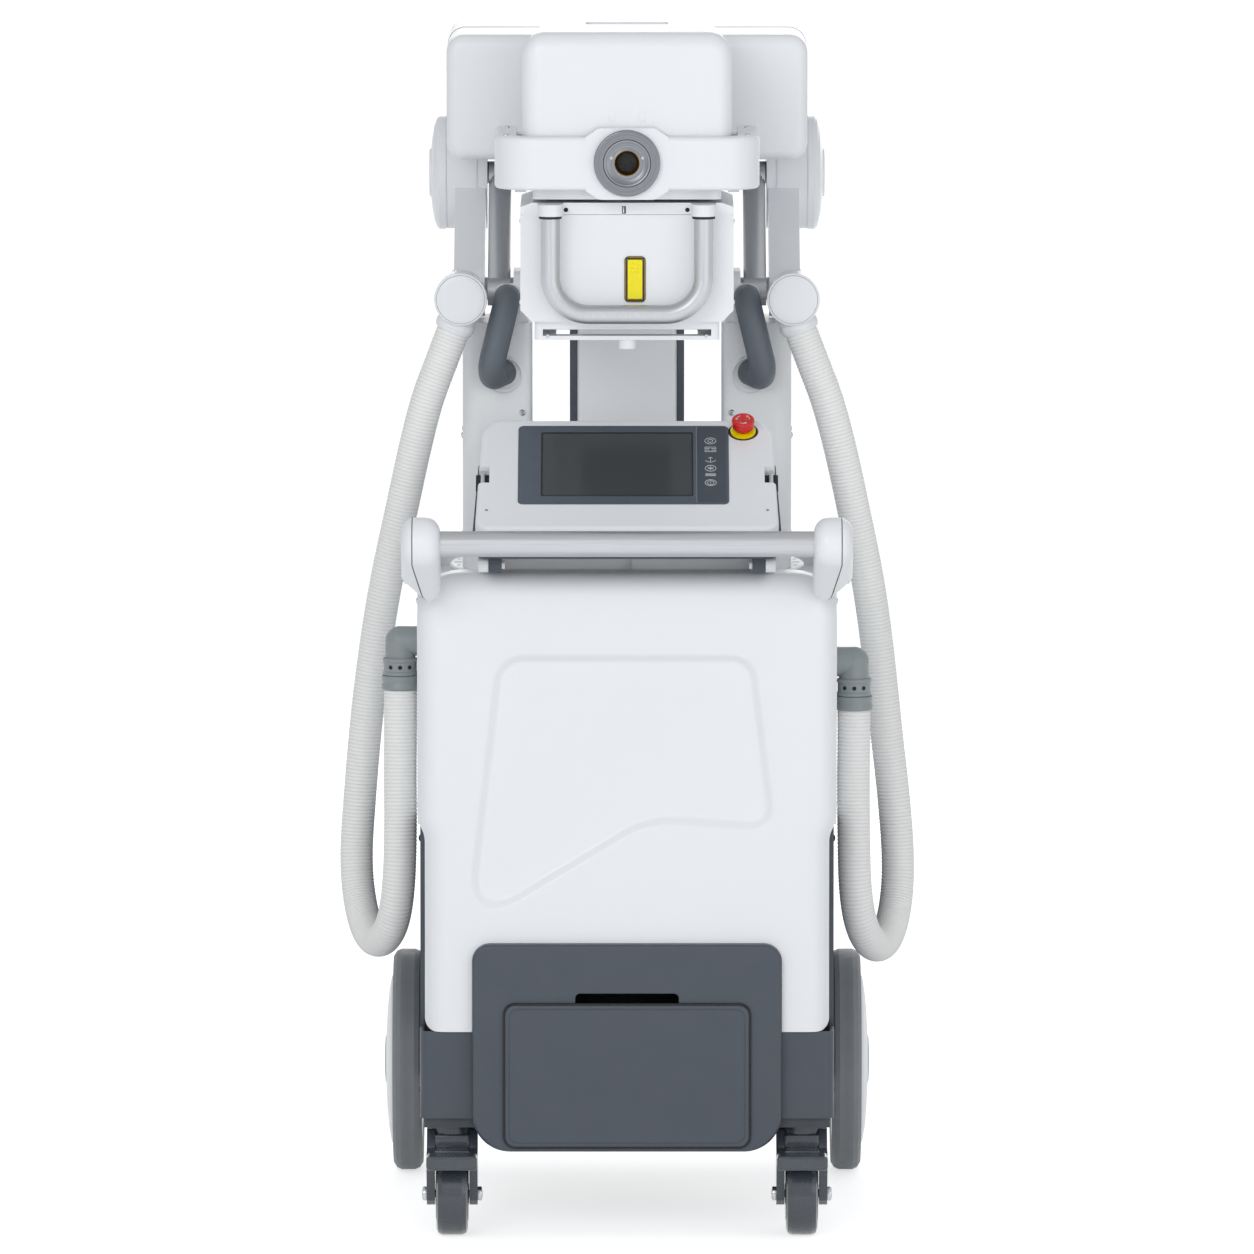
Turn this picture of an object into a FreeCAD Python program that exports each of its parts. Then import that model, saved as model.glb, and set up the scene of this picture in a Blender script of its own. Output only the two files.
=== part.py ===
import FreeCAD, Part
import math
import os

# Mobile x-ray machine, seen from its operator's side. Millimetres.
# +Z is up, -Y points at the operator, +X is to the operator's right.
# The origin is on the floor, under the middle of the machine.

# Body on the wheels
BODY_HALF_WIDTH = 255.0
LOWER_HALF_WIDTH = 246.0
BODY_FRONT = -302.0
BODY_REAR = 325.0
COVER_TOP = 812.0
COVER_STEP = 500.0
COVER_BOTTOM = 253.0
COVER_DEPTH = 60.0
COVER_WALL = 7.0
COVER_TOP_RADIUS = 52.0
COVER_EDGE = 12.0
RECESS_DEPTH = 3.0
RECESS_SLOPE = 6.0
RECESS_ROUND = 14.0
STEP_ROUND = 30.0
COVER_LOW_ROUND = 15.0
SIDE_WALL = 5.0
SIDE_TOP = 790.0
REAR_SEAM = 283.0
REAR_ROUND = 28.0
LOUVRE_COUNT = 7
LOUVRE_LOW = 560.0
LOUVRE_PITCH = 18.0
LOUVRE_HEIGHT = 8.0
LOUVRE_HALF = 120.0
SKIRT_BOTTOM = 146.0
SKIRT_INSET = 3.0
DECK_TOP = 760.0
DECK_WALL = 6.0
SEAT_GAP = 0.3
RUNNING = 0.05

# Chassis
PLATE_BOTTOM = 134.0
PLATE_WALL = 12.0
POST_SIZE = 30.0
SWIVEL_Y = 100.0
PEDESTAL_RADIUS = 110.0
PEDESTAL_WALL = 10.0
SLEW_RADIUS = 145.0
SLEW_THICKNESS = 16.0
SPIGOT_RADIUS = 60.0
SPIGOT_LENGTH = 24.0
TURNTABLE_RADIUS = 220.0
TURNTABLE_WALL = 16.0

# Rear wheels
WHEEL_RADIUS = 139.0
WHEEL_Y = 280.0
TYRE_WIDTH = 37.0
TYRE_HEIGHT = 27.0
WHEEL_GAP = 1.5
AXLE_RADIUS = 10.0
AXLE_BEAM_RADIUS = 15.0
DOME_RISE = 12.0

# Casters
CASTER_X = 213.0
CASTER_Y = -240.0
CASTER_TRAIL = 30.0
CASTER_RADIUS = 50.0
CASTER_WIDTH = 38.0
FORK_GAP = 2.0
FORK_LEG = 10.0
NOSE_REACH = 32.0
NOSE_DROP = 3.0
CROWN_RADIUS = 28.0
CROWN_WALL = 12.0
STEM_RADIUS = 8.0
CASTER_AXLE_RADIUS = 5.0
PEDAL_PIN_RADIUS = 3.0
PEDAL_LENGTH = 32.0
PEDAL_THICKNESS = 18.0
PEDAL_ROUND = 5.0

# Drawer
FRAME_HALF_WIDTH = 188.0
FRAME_BOTTOM = 107.5
FRAME_TOP = 361.5
FRAME_PROUD = 13.0
FRAME_WALL = 20.0
LID_HALF_WIDTH = 149.5
LID_BOTTOM = 113.0
LID_TOP = 289.0
LID_GAP = 1.0
LID_PROUD = 5.0
LID_THICKNESS = 13.0
LID_ROUND = 14.0
NOTCH_HALF_WIDTH = 63.0
NOTCH_HEIGHT = 13.0
TRAY_HALF_WIDTH = 138.0
TRAY_BOTTOM = 126.0
TRAY_TOP = 262.0
TRAY_DEPTH = 240.0
TRAY_WALL = 3.0
SLEEVE_HALF_WIDTH = 158.0
SLEEVE_BOTTOM = 118.0
SLEEVE_TOP = 312.0
SLEEVE_WALL = 4.0
RUNNER_HEIGHT = 18.0
RUNNER_WIDTH = 8.0
RUNNER_Z = 190.0

# Console
CONSOLE_FRONT_Y = -352.0
CONSOLE_FRONT_Z = 873.5
CONSOLE_SLOPE = 30.3
CONSOLE_LENGTH = 226.0
CONSOLE_TOP_HALF = 174.0
CONSOLE_BOTTOM_HALF = 184.0
CONSOLE_THICKNESS = 30.0
CONSOLE_BACK = 25.0
CONSOLE_ROUND = 18.0
BEZEL_LEFT = -132.0
BEZEL_RIGHT = 123.5
BEZEL_LOW = 49.0
BEZEL_HIGH = 211.0
BEZEL_SINK = 4.0
SCREEN_LEFT = -103.0
SCREEN_RIGHT = 79.0
SCREEN_LOW = 66.0
SCREEN_HIGH = 196.0
SCREEN_THICKNESS = 3.0
TILT_PIN_Y = -305.0
TILT_PIN_Z = 824.0
TILT_PIN_RADIUS = 5.0
TILT_LUG_RADIUS = 9.0
TILT_ARM_X = 168.0
TILT_ARM_WIDTH = 12.0
TILT_LUG_WIDTH = 16.0
ESTOP_X = 141.5
ESTOP_V = 200.0
ESTOP_CAP_RADIUS = 14.0
ESTOP_COLLAR_RADIUS = 15.5
ESTOP_CAP_HEIGHT = 21.0
ESTOP_STEM_RADIUS = 8.0
ESTOP_TRAVEL = 4.0
PLINTH_HALF_WIDTH = 167.0
PLINTH_FRONT = -240.0
PLINTH_REAR = -165.0
PLINTH_SLOT = 12.0
PLINTH_SLOT_DEPTH = 8.0

# Push handle
BAR_Y = -400.0
BAR_Z = 859.0
BAR_RADIUS = 15.5
BAR_HALF_LENGTH = 240.0
BAR_WALL = 2.5
POD_INNER_X = 225.0
POD_OUTER_X = 272.0
POD_RADIUS = 32.0
POD_HEEL_Y = -340.0
POD_HEEL_Z = 812.0
POD_HEEL_RADIUS = 29.0
POD_SLANT_TOP = 816.0
POD_SLANT_X = 238.0
POD_EDGE = 18.0
POD_ARM_RADIUS = 15.0
POD_ARM_Z = 822.0
HANDLE_PIN_Y = -222.0
HANDLE_PIN_Z = 814.0
HANDLE_PIN_RADIUS = 9.0
HANDLE_EYE_RADIUS = 22.0

# Towers and centre column, on the turntable
TOWER_INNER_X = 117.0
TOWER_OUTER_X = 203.0
TOWER_FRONT = 18.0
TOWER_DEPTH = 140.0
TOWER_WALL = 6.0
TOWER_TOP = 1091.0
TOWER_ROUND = 20.0
COLUMN_HALF_WIDTH = 70.0
COLUMN_FACE_HALF = 61.0
COLUMN_FRONT = 34.0
COLUMN_DEPTH = 96.0
COLUMN_STEP = 5.0
COLUMN_TOP = 1088.0

# Lifting arm
SHOULDER_Z = 1127.0
HUB_Y = 270.0
HUB_Z = 1259.0
ARM_INNER_X = 176.0
ARM_WIDTH = 38.0
ARM_HALF_HEIGHT = 29.0
SHOULDER_EYE_RADIUS = 34.0
CROSS_SHAFT_RADIUS = 14.0
HUB_RADIUS = 70.0
HUB_INNER_X = 174.0
HUB_OUTER_X = 224.0
HUB_CAP_RADIUS = 71.0
HUB_CAP_WIDTH = 22.0
TIE_OFFSET = 50.0
TIE_X = 158.0
TIE_RADIUS = 14.0
TIE_EYE_RADIUS = 17.0
TIE_PIN_RADIUS = 7.0
LUG_INNER_X = 122.0
LUG_WIDTH = 18.0
LUG_RADIUS = 26.0
LEVER_INNER_X = 126.0
LEVER_WIDTH = 14.0
LEVER_RADIUS = 22.0
ELBOW_SHAFT_RADIUS = 14.0

# Forearm housing
BOX_HALF_WIDTH = 222.0
BOX_BOTTOM = 1294.0
BOX_TOP = 1448.0
BOX_FRONT = -10.0
BOX_REAR = 360.0
BOX_WALL = 5.0
BOX_ROUND = 22.0
BOX_EDGE = 14.0
HUB_CLEARANCE = 2.5
KNUCKLE_X = 60.0
KNUCKLE_WIDTH = 50.0
KNUCKLE_RADIUS = 27.0
MOUTH_HALF_WIDTH = 80.0
MOUTH_DEPTH = 115.0
MOUTH_TOP = 1430.0

# Head carrier
LEVEL_PIN_Y = 40.0
LEVEL_PIN_Z = 1370.0
LEVEL_PIN_RADIUS = 12.0
TONGUE_RADIUS = 38.0
TONGUE_HALF_WIDTH = 70.0
CARRIER_HALF_WIDTH = 72.0
CARRIER_WALL = 26.0

# Tube head
HEAD_HALF_WIDTH = 127.5
HEAD_REAR_HALF_WIDTH = 116.0
HEAD_FRONT = -310.0
HEAD_REAR = -60.0
HEAD_BOTTOM = 1279.0
HEAD_TOP = 1469.0
HEAD_ROUND = 28.0
HEAD_EDGE = 20.0
BASE_BOTTOM = 1267.0
ROLL_Z = 1314.0
ROLL_SPIGOT_RADIUS = 30.0
ROLL_SPIGOT_LENGTH = 18.0
BAND_HALF_WIDTH = 160.0
BAND_BOTTOM = 1280.5
BAND_TOP = 1344.5
BAND_FRONT = -338.0
BAND_REAR = -120.0
BAND_THICKNESS = 26.0
BAND_ROUND = 48.0
BAND_PAD = 40.0
BAND_SWELL = 11.0
BAND_SWELL_HALF = 34.0
RING_RADIUS = 40.0
RING_INNER = 29.0
RING_PROUD = 9.0
BUSH_RADIUS = 24.0
BORE_RADIUS = 12.5
BORE_DEPTH = 34.0

# Beam limiter under the head
LIMITER_Y = -190.0
LIMITER_HALF_WIDTH = 129.0
LIMITER_HALF_DEPTH = 100.0
LIMITER_TOP = 1262.5
LIMITER_BOTTOM = 1118.0
FLANGE_HEIGHT = 14.0
FLANGE_CHAMFER = 14.0
FLANGE_PROUD = 3.0
PANEL_LEFT = -83.0
PANEL_RIGHT = 84.0
PANEL_BOTTOM = 1138.5
PANEL_TOP = 1248.0
PANEL_PROUD = 3.0
PANEL_ROUND = 16.0
THROAT_RADIUS = 48.0
BEAM_HALF = 55.0
RAIL_HALF_WIDTH = 112.0
RAIL_HALF_DEPTH = 88.0
RAIL_BOTTOM = 1095.0
RAIL_WALL = 10.0
RAIL_LIP = 16.0
RAIL_SLOT = 8.0
KNOB_RADIUS = 11.0
KNOB_HEIGHT = 12.0
U_TUBE_RADIUS = 11.5
U_HALF_WIDTH = 92.5
U_BOTTOM = 1129.5
U_BEND = 46.0
U_STAND_OFF = 30.0
COLLAR_RADIUS = 15.0
COLLAR_HEIGHT = 14.0
KEY_X = 9.7
KEY_Z = 1170.0
KEY_HALF_WIDTH = 9.0
KEY_HALF_HEIGHT = 24.0
KEY_GAP = 0.5
KEY_TRAVEL = 2.0
KEY_PROUD = 4.0

# Grips on the towers
GRIP_RADIUS = 16.3
GRIP_BEND = 22.0
GRIP_FRONT = -32.0
GRIP_TOP_X = 147.6
GRIP_TOP_Z = 1122.5
GRIP_LOW_X = 171.0
GRIP_LOW_Z = 1026.0
GRIP_FOOT_X = 152.0
CUP_RADIUS = 21.0
CUP_DEPTH = 3.0
POST_DEPTH = 10.0

# Hose drums on the towers
DRUM_X = 204.0
DRUM_FRONT = -72.0
DRUM_REAR = 30.0
DRUM_RADIUS = 29.0
DRUM_CAP_RADIUS = 32.5
DRUM_CAP_WIDTH = 9.0
OUTLET_Y = -42.0
OUTLET_RADIUS = 23.0
OUTLET_DROP = 41.0

# Hoses, with the points of their routes chosen by hand on the left side and the right
HOSE_RADIUS = 20.5
HOSE_SIDE_Y = -140.0
LEFT_HOSE = [(-213.5, -42.0, 1087.0), (-229.0, -41.0, 1046.0), (-246.5, -39.0, 1000.0),
             (-262.5, -32.0, 935.0), (-278.0, -24.0, 862.0), (-297.0, -12.0, 776.0),
             (-311.0, -2.0, 690.0), (-322.5, 6.0, 598.0), (-330.5, 12.0, 506.0),
             (-336.0, 13.0, 428.0), (-331.0, 0.0, 373.0), (-319.0, -42.0, 338.0),
             (-303.0, -88.0, 334.0), (-287.0, -128.0, 362.0), (-279.5, -143.0, 411.0),
             (-277.5, -141.0, 478.0), (-278.0, -139.0, 552.0), (-277.5, -140.0, 606.0),
             (-277.5, -140.0, 654.5)]
RIGHT_HOSE = [(213.5, -42.0, 1087.0), (229.0, -41.0, 1046.0), (247.0, -39.0, 1000.0),
              (264.0, -32.0, 935.0), (279.5, -24.0, 862.0), (297.5, -12.0, 776.0),
              (309.5, -2.0, 690.0), (319.0, 6.0, 598.0), (330.0, 12.0, 506.0),
              (336.5, 13.0, 424.0), (333.0, 0.0, 368.0), (321.0, -42.0, 332.0),
              (305.0, -88.0, 328.0), (288.0, -128.0, 356.0), (279.5, -143.0, 405.0),
              (278.0, -141.0, 470.0), (277.5, -139.0, 540.0), (278.0, -140.0, 588.0),
              (278.0, -140.0, 629.0)]
ELBOW_RADIUS = 18.3
CLAMP_RADIUS = 19.8
CUFF_RADIUS = 21.5
CLAMP_HEIGHT = 22.0
CUFF_HEIGHT = 17.0
ELBOW_HEIGHT = 20.0

# Inside the body
BATTERY_SIZE = (300.0, 150.0, 130.0)
GENERATOR_SIZE = (260.0, 60.0, 380.0)

LEFT = -1
RIGHT = 1
NAMES = {LEFT: "left", RIGHT: "right"}
SHOULDER_Y = SWIVEL_Y
ORIGIN_SHIFT = -(BAR_Y - POD_RADIUS + WHEEL_Y + WHEEL_RADIUS) / 2
TURNTABLE_TOP = DECK_TOP + SLEW_THICKNESS - DECK_WALL + SEAT_GAP + TURNTABLE_WALL
X_AXIS = FreeCAD.Vector(1, 0, 0)
Y_AXIS = FreeCAD.Vector(0, 1, 0)
Z_AXIS = FreeCAD.Vector(0, 0, 1)


def point(x, y, z):
    return FreeCAD.Vector(x, y, z)


def block(x_span, y_span, z_span):
    size = [span[1] - span[0] for span in (x_span, y_span, z_span)]
    return Part.makeBox(size[0], size[1], size[2], point(x_span[0], y_span[0], z_span[0]))


def rod(radius, start, end):
    start = point(*start)
    direction = point(*end) - start
    return Part.makeCylinder(radius, direction.Length, start, direction)


def place_2d(plane, level, a, b):
    """A point of a flat outline: the plane's two coordinates, and the level along the third axis."""
    if plane == "XZ":
        return point(a, level, b)
    if plane == "YZ":
        return point(level, a, b)
    return point(a, b, level)


def rounded_face(plane, level, corners, radii):
    """A flat face through the corners, each rounded by its own radius."""
    edges = []
    ends = []
    count = len(corners)
    for i in range(count):
        before = FreeCAD.Vector(*corners[i - 1], 0)
        here = FreeCAD.Vector(*corners[i], 0)
        after = FreeCAD.Vector(*corners[(i + 1) % count], 0)
        back = (before - here).normalize()
        ahead = (after - here).normalize()
        half = back.getAngle(ahead) / 2
        radius = radii[i]
        reach = radius / math.tan(half)
        start = here + back * reach
        end = here + ahead * reach
        middle = here
        if radius > 0:
            bisector = (back + ahead).normalize()
            middle = here + bisector * (radius / math.sin(half) - radius)
        ends.append((start, middle, end, radius))
    for i in range(count):
        start, middle, end, radius = ends[i]
        a = place_2d(plane, level, start.x, start.y)
        m = place_2d(plane, level, middle.x, middle.y)
        b = place_2d(plane, level, end.x, end.y)
        if radius > 0:
            edges.append(Part.Arc(a, m, b).toShape())
        following = ends[(i + 1) % count][0]
        c = place_2d(plane, level, following.x, following.y)
        if (c - b).Length > 1e-6:
            edges.append(Part.LineSegment(b, c).toShape())
    return Part.Face(Part.Wire(edges))


def rounded_prism(plane, span, corners, radii):
    """The outline pushed from one level to another along the plane's normal."""
    if not isinstance(radii, (list, tuple)):
        radii = [radii] * len(corners)
    axis = {"XZ": Y_AXIS, "YZ": X_AXIS, "XY": Z_AXIS}[plane]
    face = rounded_face(plane, span[0], corners, radii)
    return face.extrude(axis * (span[1] - span[0]))


def rectangle(a_span, b_span):
    return [(a_span[0], b_span[0]), (a_span[1], b_span[0]), (a_span[1], b_span[1]), (a_span[0], b_span[1])]


def link(span, first, first_radius, second, second_radius):
    """A link plate in the YZ plane: two round ends and the straight sides that touch both."""
    ay, az = first
    by, bz = second
    distance = math.hypot(by - ay, bz - az)
    heading = math.atan2(bz - az, by - ay)
    spread = math.acos((first_radius - second_radius) / distance)
    points = []
    for centre, radius in (((ay, az), first_radius), ((by, bz), second_radius)):
        for turn in (spread, -spread):
            points.append((centre[0] + radius * math.cos(heading + turn),
                           centre[1] + radius * math.sin(heading + turn)))
    a_up, a_down, b_up, b_down = [place_2d("YZ", span[0], *p) for p in points]
    a_far = place_2d("YZ", span[0], ay - first_radius * math.cos(heading), az - first_radius * math.sin(heading))
    b_far = place_2d("YZ", span[0], by + second_radius * math.cos(heading), bz + second_radius * math.sin(heading))
    edges = [Part.Arc(a_up, a_far, a_down).toShape(), Part.LineSegment(a_down, b_down).toShape(),
             Part.Arc(b_down, b_far, b_up).toShape(), Part.LineSegment(b_up, a_up).toShape()]
    return Part.Face(Part.Wire(edges)).extrude(X_AXIS * (span[1] - span[0]))


def revolve_x(profile):
    """A solid turned about the X axis from a profile of (x, radius) points."""
    points = [point(x, 0, r) for x, r in profile]
    wire = Part.makePolygon(points + [points[0]])
    return Part.Face(wire).revolve(point(0, 0, 0), X_AXIS, 360)


def soften(shape, radius, keep):
    """Round the edges that the test keeps."""
    return shape.makeFillet(radius, [edge for edge in shape.Edges if keep(edge)])


def spans_level(edge, axis, level):
    """True for an edge that lies wholly in the plane where the axis has this value."""
    box = edge.BoundBox
    low, high = {"x": (box.XMin, box.XMax), "y": (box.YMin, box.YMax), "z": (box.ZMin, box.ZMax)}[axis]
    return abs(low - level) < 0.01 and abs(high - level) < 0.01


def mirrored(shape, side):
    """The right side's shape, or its mirror image for the left side."""
    if side == RIGHT:
        return shape
    return shape.mirror(point(0, 0, 0), X_AXIS)


def bent_tube(points, radius, bends):
    """A round bar along straight runs joined by tangent arcs."""
    corners = [point(*p) for p in points]
    edges = []
    start = corners[0]
    for i in range(1, len(corners) - 1):
        back = (corners[i - 1] - corners[i]).normalize()
        ahead = (corners[i + 1] - corners[i]).normalize()
        half = back.getAngle(ahead) / 2
        reach = bends[i - 1] / math.tan(half)
        arc_start = corners[i] + back * reach
        arc_end = corners[i] + ahead * reach
        middle = corners[i] + (back + ahead).normalize() * (bends[i - 1] / math.sin(half) - bends[i - 1])
        edges.append(Part.LineSegment(start, arc_start).toShape())
        edges.append(Part.Arc(arc_start, middle, arc_end).toShape())
        start = arc_end
    edges.append(Part.LineSegment(start, corners[-1]).toShape())
    path = Part.Wire(edges)
    section = Part.Wire(Part.makeCircle(radius, corners[0], corners[1] - corners[0]))
    tube = path.makePipe(Part.Face(section))
    return tube, path.Length


def hose_bends(points):
    """The largest arc that each corner's two runs leave room for."""
    corners = [point(*p) for p in points]
    bends = []
    for i in range(1, len(corners) - 1):
        back = corners[i - 1] - corners[i]
        ahead = corners[i + 1] - corners[i]
        turn = math.pi - back.getAngle(ahead)
        shorter = min(back.Length, ahead.Length)
        bends.append(0.45 * shorter / math.tan(turn / 2))
    return bends


# Chassis and covers

def chassis_frame():
    """Base plate, posts, pedestal with its bearing ring, and the rear axle, welded together."""
    plate_top = PLATE_BOTTOM + PLATE_WALL
    half = BODY_HALF_WIDTH - SIDE_WALL - SKIRT_INSET
    inside_front = BODY_FRONT + COVER_WALL + 6.0
    corner = REAR_ROUND - SIDE_WALL
    frame = rounded_prism("XY", (PLATE_BOTTOM, plate_top),
                          rectangle((-half, half), (inside_front, BODY_REAR - SIDE_WALL)), [0, 0, corner, corner])
    drawer_room = SLEEVE_HALF_WIDTH + LID_GAP
    drawer_rear = BODY_FRONT - FRAME_PROUD + FRAME_WALL + TRAY_DEPTH + 2 * SLEEVE_WALL
    frame = frame.cut(block((-drawer_room, drawer_room), (inside_front - 1, drawer_rear + LID_GAP),
                            (PLATE_BOTTOM - 1, plate_top + 1)))
    deck_bottom = DECK_TOP - DECK_WALL
    for side in (LEFT, RIGHT):
        for y in (BODY_FRONT + COVER_DEPTH + 6.0, REAR_SEAM - POST_SIZE):
            post = block((half - POST_SIZE, half), (y, y + POST_SIZE), (plate_top, deck_bottom))
            frame = frame.fuse(mirrored(post, side))
    ring_bottom = deck_bottom
    ring_top = ring_bottom + SLEW_THICKNESS
    centre = (0, SWIVEL_Y, plate_top)
    frame = frame.fuse(rod(PEDESTAL_RADIUS, centre, (0, SWIVEL_Y, ring_top)))
    frame = frame.fuse(rod(SLEW_RADIUS, (0, SWIVEL_Y, ring_bottom), (0, SWIVEL_Y, ring_top)))
    frame = frame.cut(rod(PEDESTAL_RADIUS - PEDESTAL_WALL, centre, (0, SWIVEL_Y, ring_bottom - PEDESTAL_WALL)))
    bore = SPIGOT_RADIUS + RUNNING
    frame = frame.cut(rod(bore, (0, SWIVEL_Y, plate_top), (0, SWIVEL_Y, ring_top + 1)))
    axle_z = WHEEL_RADIUS
    beam_end = half
    stub_end = BODY_HALF_WIDTH + WHEEL_GAP + TYRE_WIDTH
    frame = frame.fuse(rod(AXLE_BEAM_RADIUS, (-beam_end, WHEEL_Y, axle_z), (beam_end, WHEEL_Y, axle_z)))
    frame = frame.fuse(rod(AXLE_RADIUS, (-stub_end, WHEEL_Y, axle_z), (stub_end, WHEEL_Y, axle_z)))
    for side in (LEFT, RIGHT):
        x = side * CASTER_X
        frame = frame.cut(rod(STEM_RADIUS + RUNNING, (x, CASTER_Y, PLATE_BOTTOM - 1), (x, CASTER_Y, plate_top + 1)))
    return frame


def cover_outline(inset):
    """The front cover's outline: wide above, stepped in below, with large upper corners."""
    wide = BODY_HALF_WIDTH - inset
    narrow = LOWER_HALF_WIDTH - inset
    low = COVER_BOTTOM + inset
    high = COVER_TOP - inset
    corners = [(-narrow, low), (narrow, low), (narrow, COVER_STEP - 10), (wide, COVER_STEP + 10), (wide, high),
               (-wide, high), (-wide, COVER_STEP + 10), (-narrow, COVER_STEP - 10)]
    top_radius = COVER_TOP_RADIUS - inset
    low_radius = COVER_LOW_ROUND - inset
    radii = [low_radius, low_radius, STEP_ROUND, STEP_ROUND, top_radius, top_radius, STEP_ROUND, STEP_ROUND]
    return corners, radii


def front_cover():
    """Moulded front cover, open behind, with the shallow recess pressed into its face."""
    corners, radii = cover_outline(0)
    shell = rounded_prism("XZ", (BODY_FRONT, BODY_FRONT + COVER_DEPTH), corners, radii)
    shell = soften(shell, COVER_EDGE, lambda edge: spans_level(edge, "y", BODY_FRONT))
    corners, radii = cover_outline(COVER_WALL)
    shell = shell.cut(rounded_prism("XZ", (BODY_FRONT + COVER_WALL, BODY_FRONT + COVER_DEPTH + 1), corners, radii))
    frame_half = FRAME_HALF_WIDTH + SEAT_GAP
    frame_top = FRAME_TOP + SEAT_GAP
    opening = rectangle((-frame_half, frame_half), (COVER_BOTTOM - 20, frame_top))
    shell = shell.cut(rounded_prism("XZ", (BODY_FRONT - 1, BODY_FRONT + COVER_DEPTH + 1), opening,
                                    [0, 0, 22, 22]))
    recess = [(-161.0, 414.0), (-183.0, 448.0), (-155.0, 690.0), (-130.0, 708.0), (131.0, 708.0), (152.0, 690.0),
              (171.5, 530.0), (157.0, 506.5), (46.0, 513.5), (13.0, 507.5), (-132.0, 419.5)]
    radii = [RECESS_ROUND, RECESS_ROUND * 2, RECESS_ROUND, RECESS_ROUND, RECESS_ROUND, RECESS_ROUND,
             RECESS_ROUND, RECESS_ROUND, RECESS_ROUND * 2, RECESS_ROUND * 2, RECESS_ROUND]
    floor_wire = rounded_face("XZ", BODY_FRONT + RECESS_DEPTH, recess, radii).OuterWire
    rim_wire = rounded_face("XZ", BODY_FRONT, recess, radii).OuterWire.makeOffset2D(RECESS_SLOPE)
    pressing = Part.makeLoft([rim_wire, floor_wire], True, True)
    return shell.cut(pressing)


def side_cover(side):
    """Upper side cover, with the boss that carries the push handle's pivot."""
    front = BODY_FRONT + COVER_DEPTH + SEAT_GAP
    inner = BODY_HALF_WIDTH - SIDE_WALL
    panel = block((inner, BODY_HALF_WIDTH), (front, REAR_SEAM - SEAT_GAP), (COVER_STEP, SIDE_TOP))
    flange = block((inner - SKIRT_INSET, inner), (front, front + 6), (COVER_STEP, DECK_TOP - DECK_WALL))
    eye_x = BODY_HALF_WIDTH + 1.5
    pin = rod(HANDLE_PIN_RADIUS, (inner, HANDLE_PIN_Y, HANDLE_PIN_Z), (POD_OUTER_X - 3, HANDLE_PIN_Y, HANDLE_PIN_Z))
    washer = rod(HANDLE_EYE_RADIUS - 6, (inner, HANDLE_PIN_Y, HANDLE_PIN_Z), (eye_x - SEAT_GAP, HANDLE_PIN_Y, HANDLE_PIN_Z))
    ear = rod(HANDLE_EYE_RADIUS, (inner, HANDLE_PIN_Y, HANDLE_PIN_Z), (BODY_HALF_WIDTH, HANDLE_PIN_Y, HANDLE_PIN_Z))
    web = block((inner, BODY_HALF_WIDTH), (HANDLE_PIN_Y - HANDLE_EYE_RADIUS + 3, HANDLE_PIN_Y + HANDLE_EYE_RADIUS + 12),
                (SIDE_TOP - 1, HANDLE_PIN_Z))
    return mirrored(panel.fuse(flange).fuse(web).fuse(ear).fuse(washer).fuse(pin), side)


def skirt(side):
    """Dark lower side panel, notched round the axle, with the return that shows beside the drawer frame."""
    outer = BODY_HALF_WIDTH - SKIRT_INSET
    inner = outer - SIDE_WALL
    top = COVER_STEP - SEAT_GAP
    panel = block((inner, outer), (BODY_FRONT + COVER_DEPTH + SEAT_GAP, REAR_SEAM - SEAT_GAP), (SKIRT_BOTTOM, top))
    face_top = COVER_BOTTOM - SEAT_GAP
    face_front = BODY_FRONT + 6.0
    corner = rounded_prism("XY", (SKIRT_BOTTOM, face_top),
                           [(FRAME_HALF_WIDTH + SEAT_GAP, face_front), (outer, face_front),
                            (outer, BODY_FRONT + COVER_DEPTH + 1), (FRAME_HALF_WIDTH + SEAT_GAP, BODY_FRONT + COVER_DEPTH + 1)],
                           [0, 12, 0, 0])
    hollow = block((FRAME_HALF_WIDTH - 1, inner), (face_front + SIDE_WALL, BODY_FRONT + COVER_DEPTH + 2),
                   (SKIRT_BOTTOM - 1, face_top + 1))
    panel = panel.fuse(corner.cut(hollow))
    notch = rod(AXLE_BEAM_RADIUS + 2, (inner - 1, WHEEL_Y, WHEEL_RADIUS), (outer + 1, WHEEL_Y, WHEEL_RADIUS))
    return mirrored(panel.cut(notch), side)


def rear_cover():
    """Rear cover with rounded vertical corners, notched round the axle and louvred for the generator's heat."""
    def wrap(inset, levels):
        outline = rectangle((-BODY_HALF_WIDTH + inset, BODY_HALF_WIDTH - inset), (REAR_SEAM - inset, BODY_REAR - inset))
        return rounded_prism("XY", levels, outline, [0, 0, REAR_ROUND - inset, REAR_ROUND - inset])

    cover = wrap(0, (SKIRT_BOTTOM, SIDE_TOP)).cut(wrap(SIDE_WALL, (SKIRT_BOTTOM - 1, SIDE_TOP + 1)))
    cover = cover.cut(block((-BODY_HALF_WIDTH + SIDE_WALL, BODY_HALF_WIDTH - SIDE_WALL), (REAR_SEAM - 1, REAR_SEAM + 1),
                            (SKIRT_BOTTOM, SIDE_TOP)))
    notch = AXLE_BEAM_RADIUS + 2
    cover = cover.cut(rod(notch, (-BODY_HALF_WIDTH - 1, WHEEL_Y, WHEEL_RADIUS), (BODY_HALF_WIDTH + 1, WHEEL_Y, WHEEL_RADIUS)))
    for i in range(LOUVRE_COUNT):
        z = LOUVRE_LOW + i * LOUVRE_PITCH
        cover = cover.cut(rounded_prism("XZ", (BODY_REAR - SIDE_WALL - 1, BODY_REAR + 1),
                                        rectangle((-LOUVRE_HALF, LOUVRE_HALF), (z, z + LOUVRE_HEIGHT)),
                                        LOUVRE_HEIGHT / 2 - 0.5))
    return cover


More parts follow.
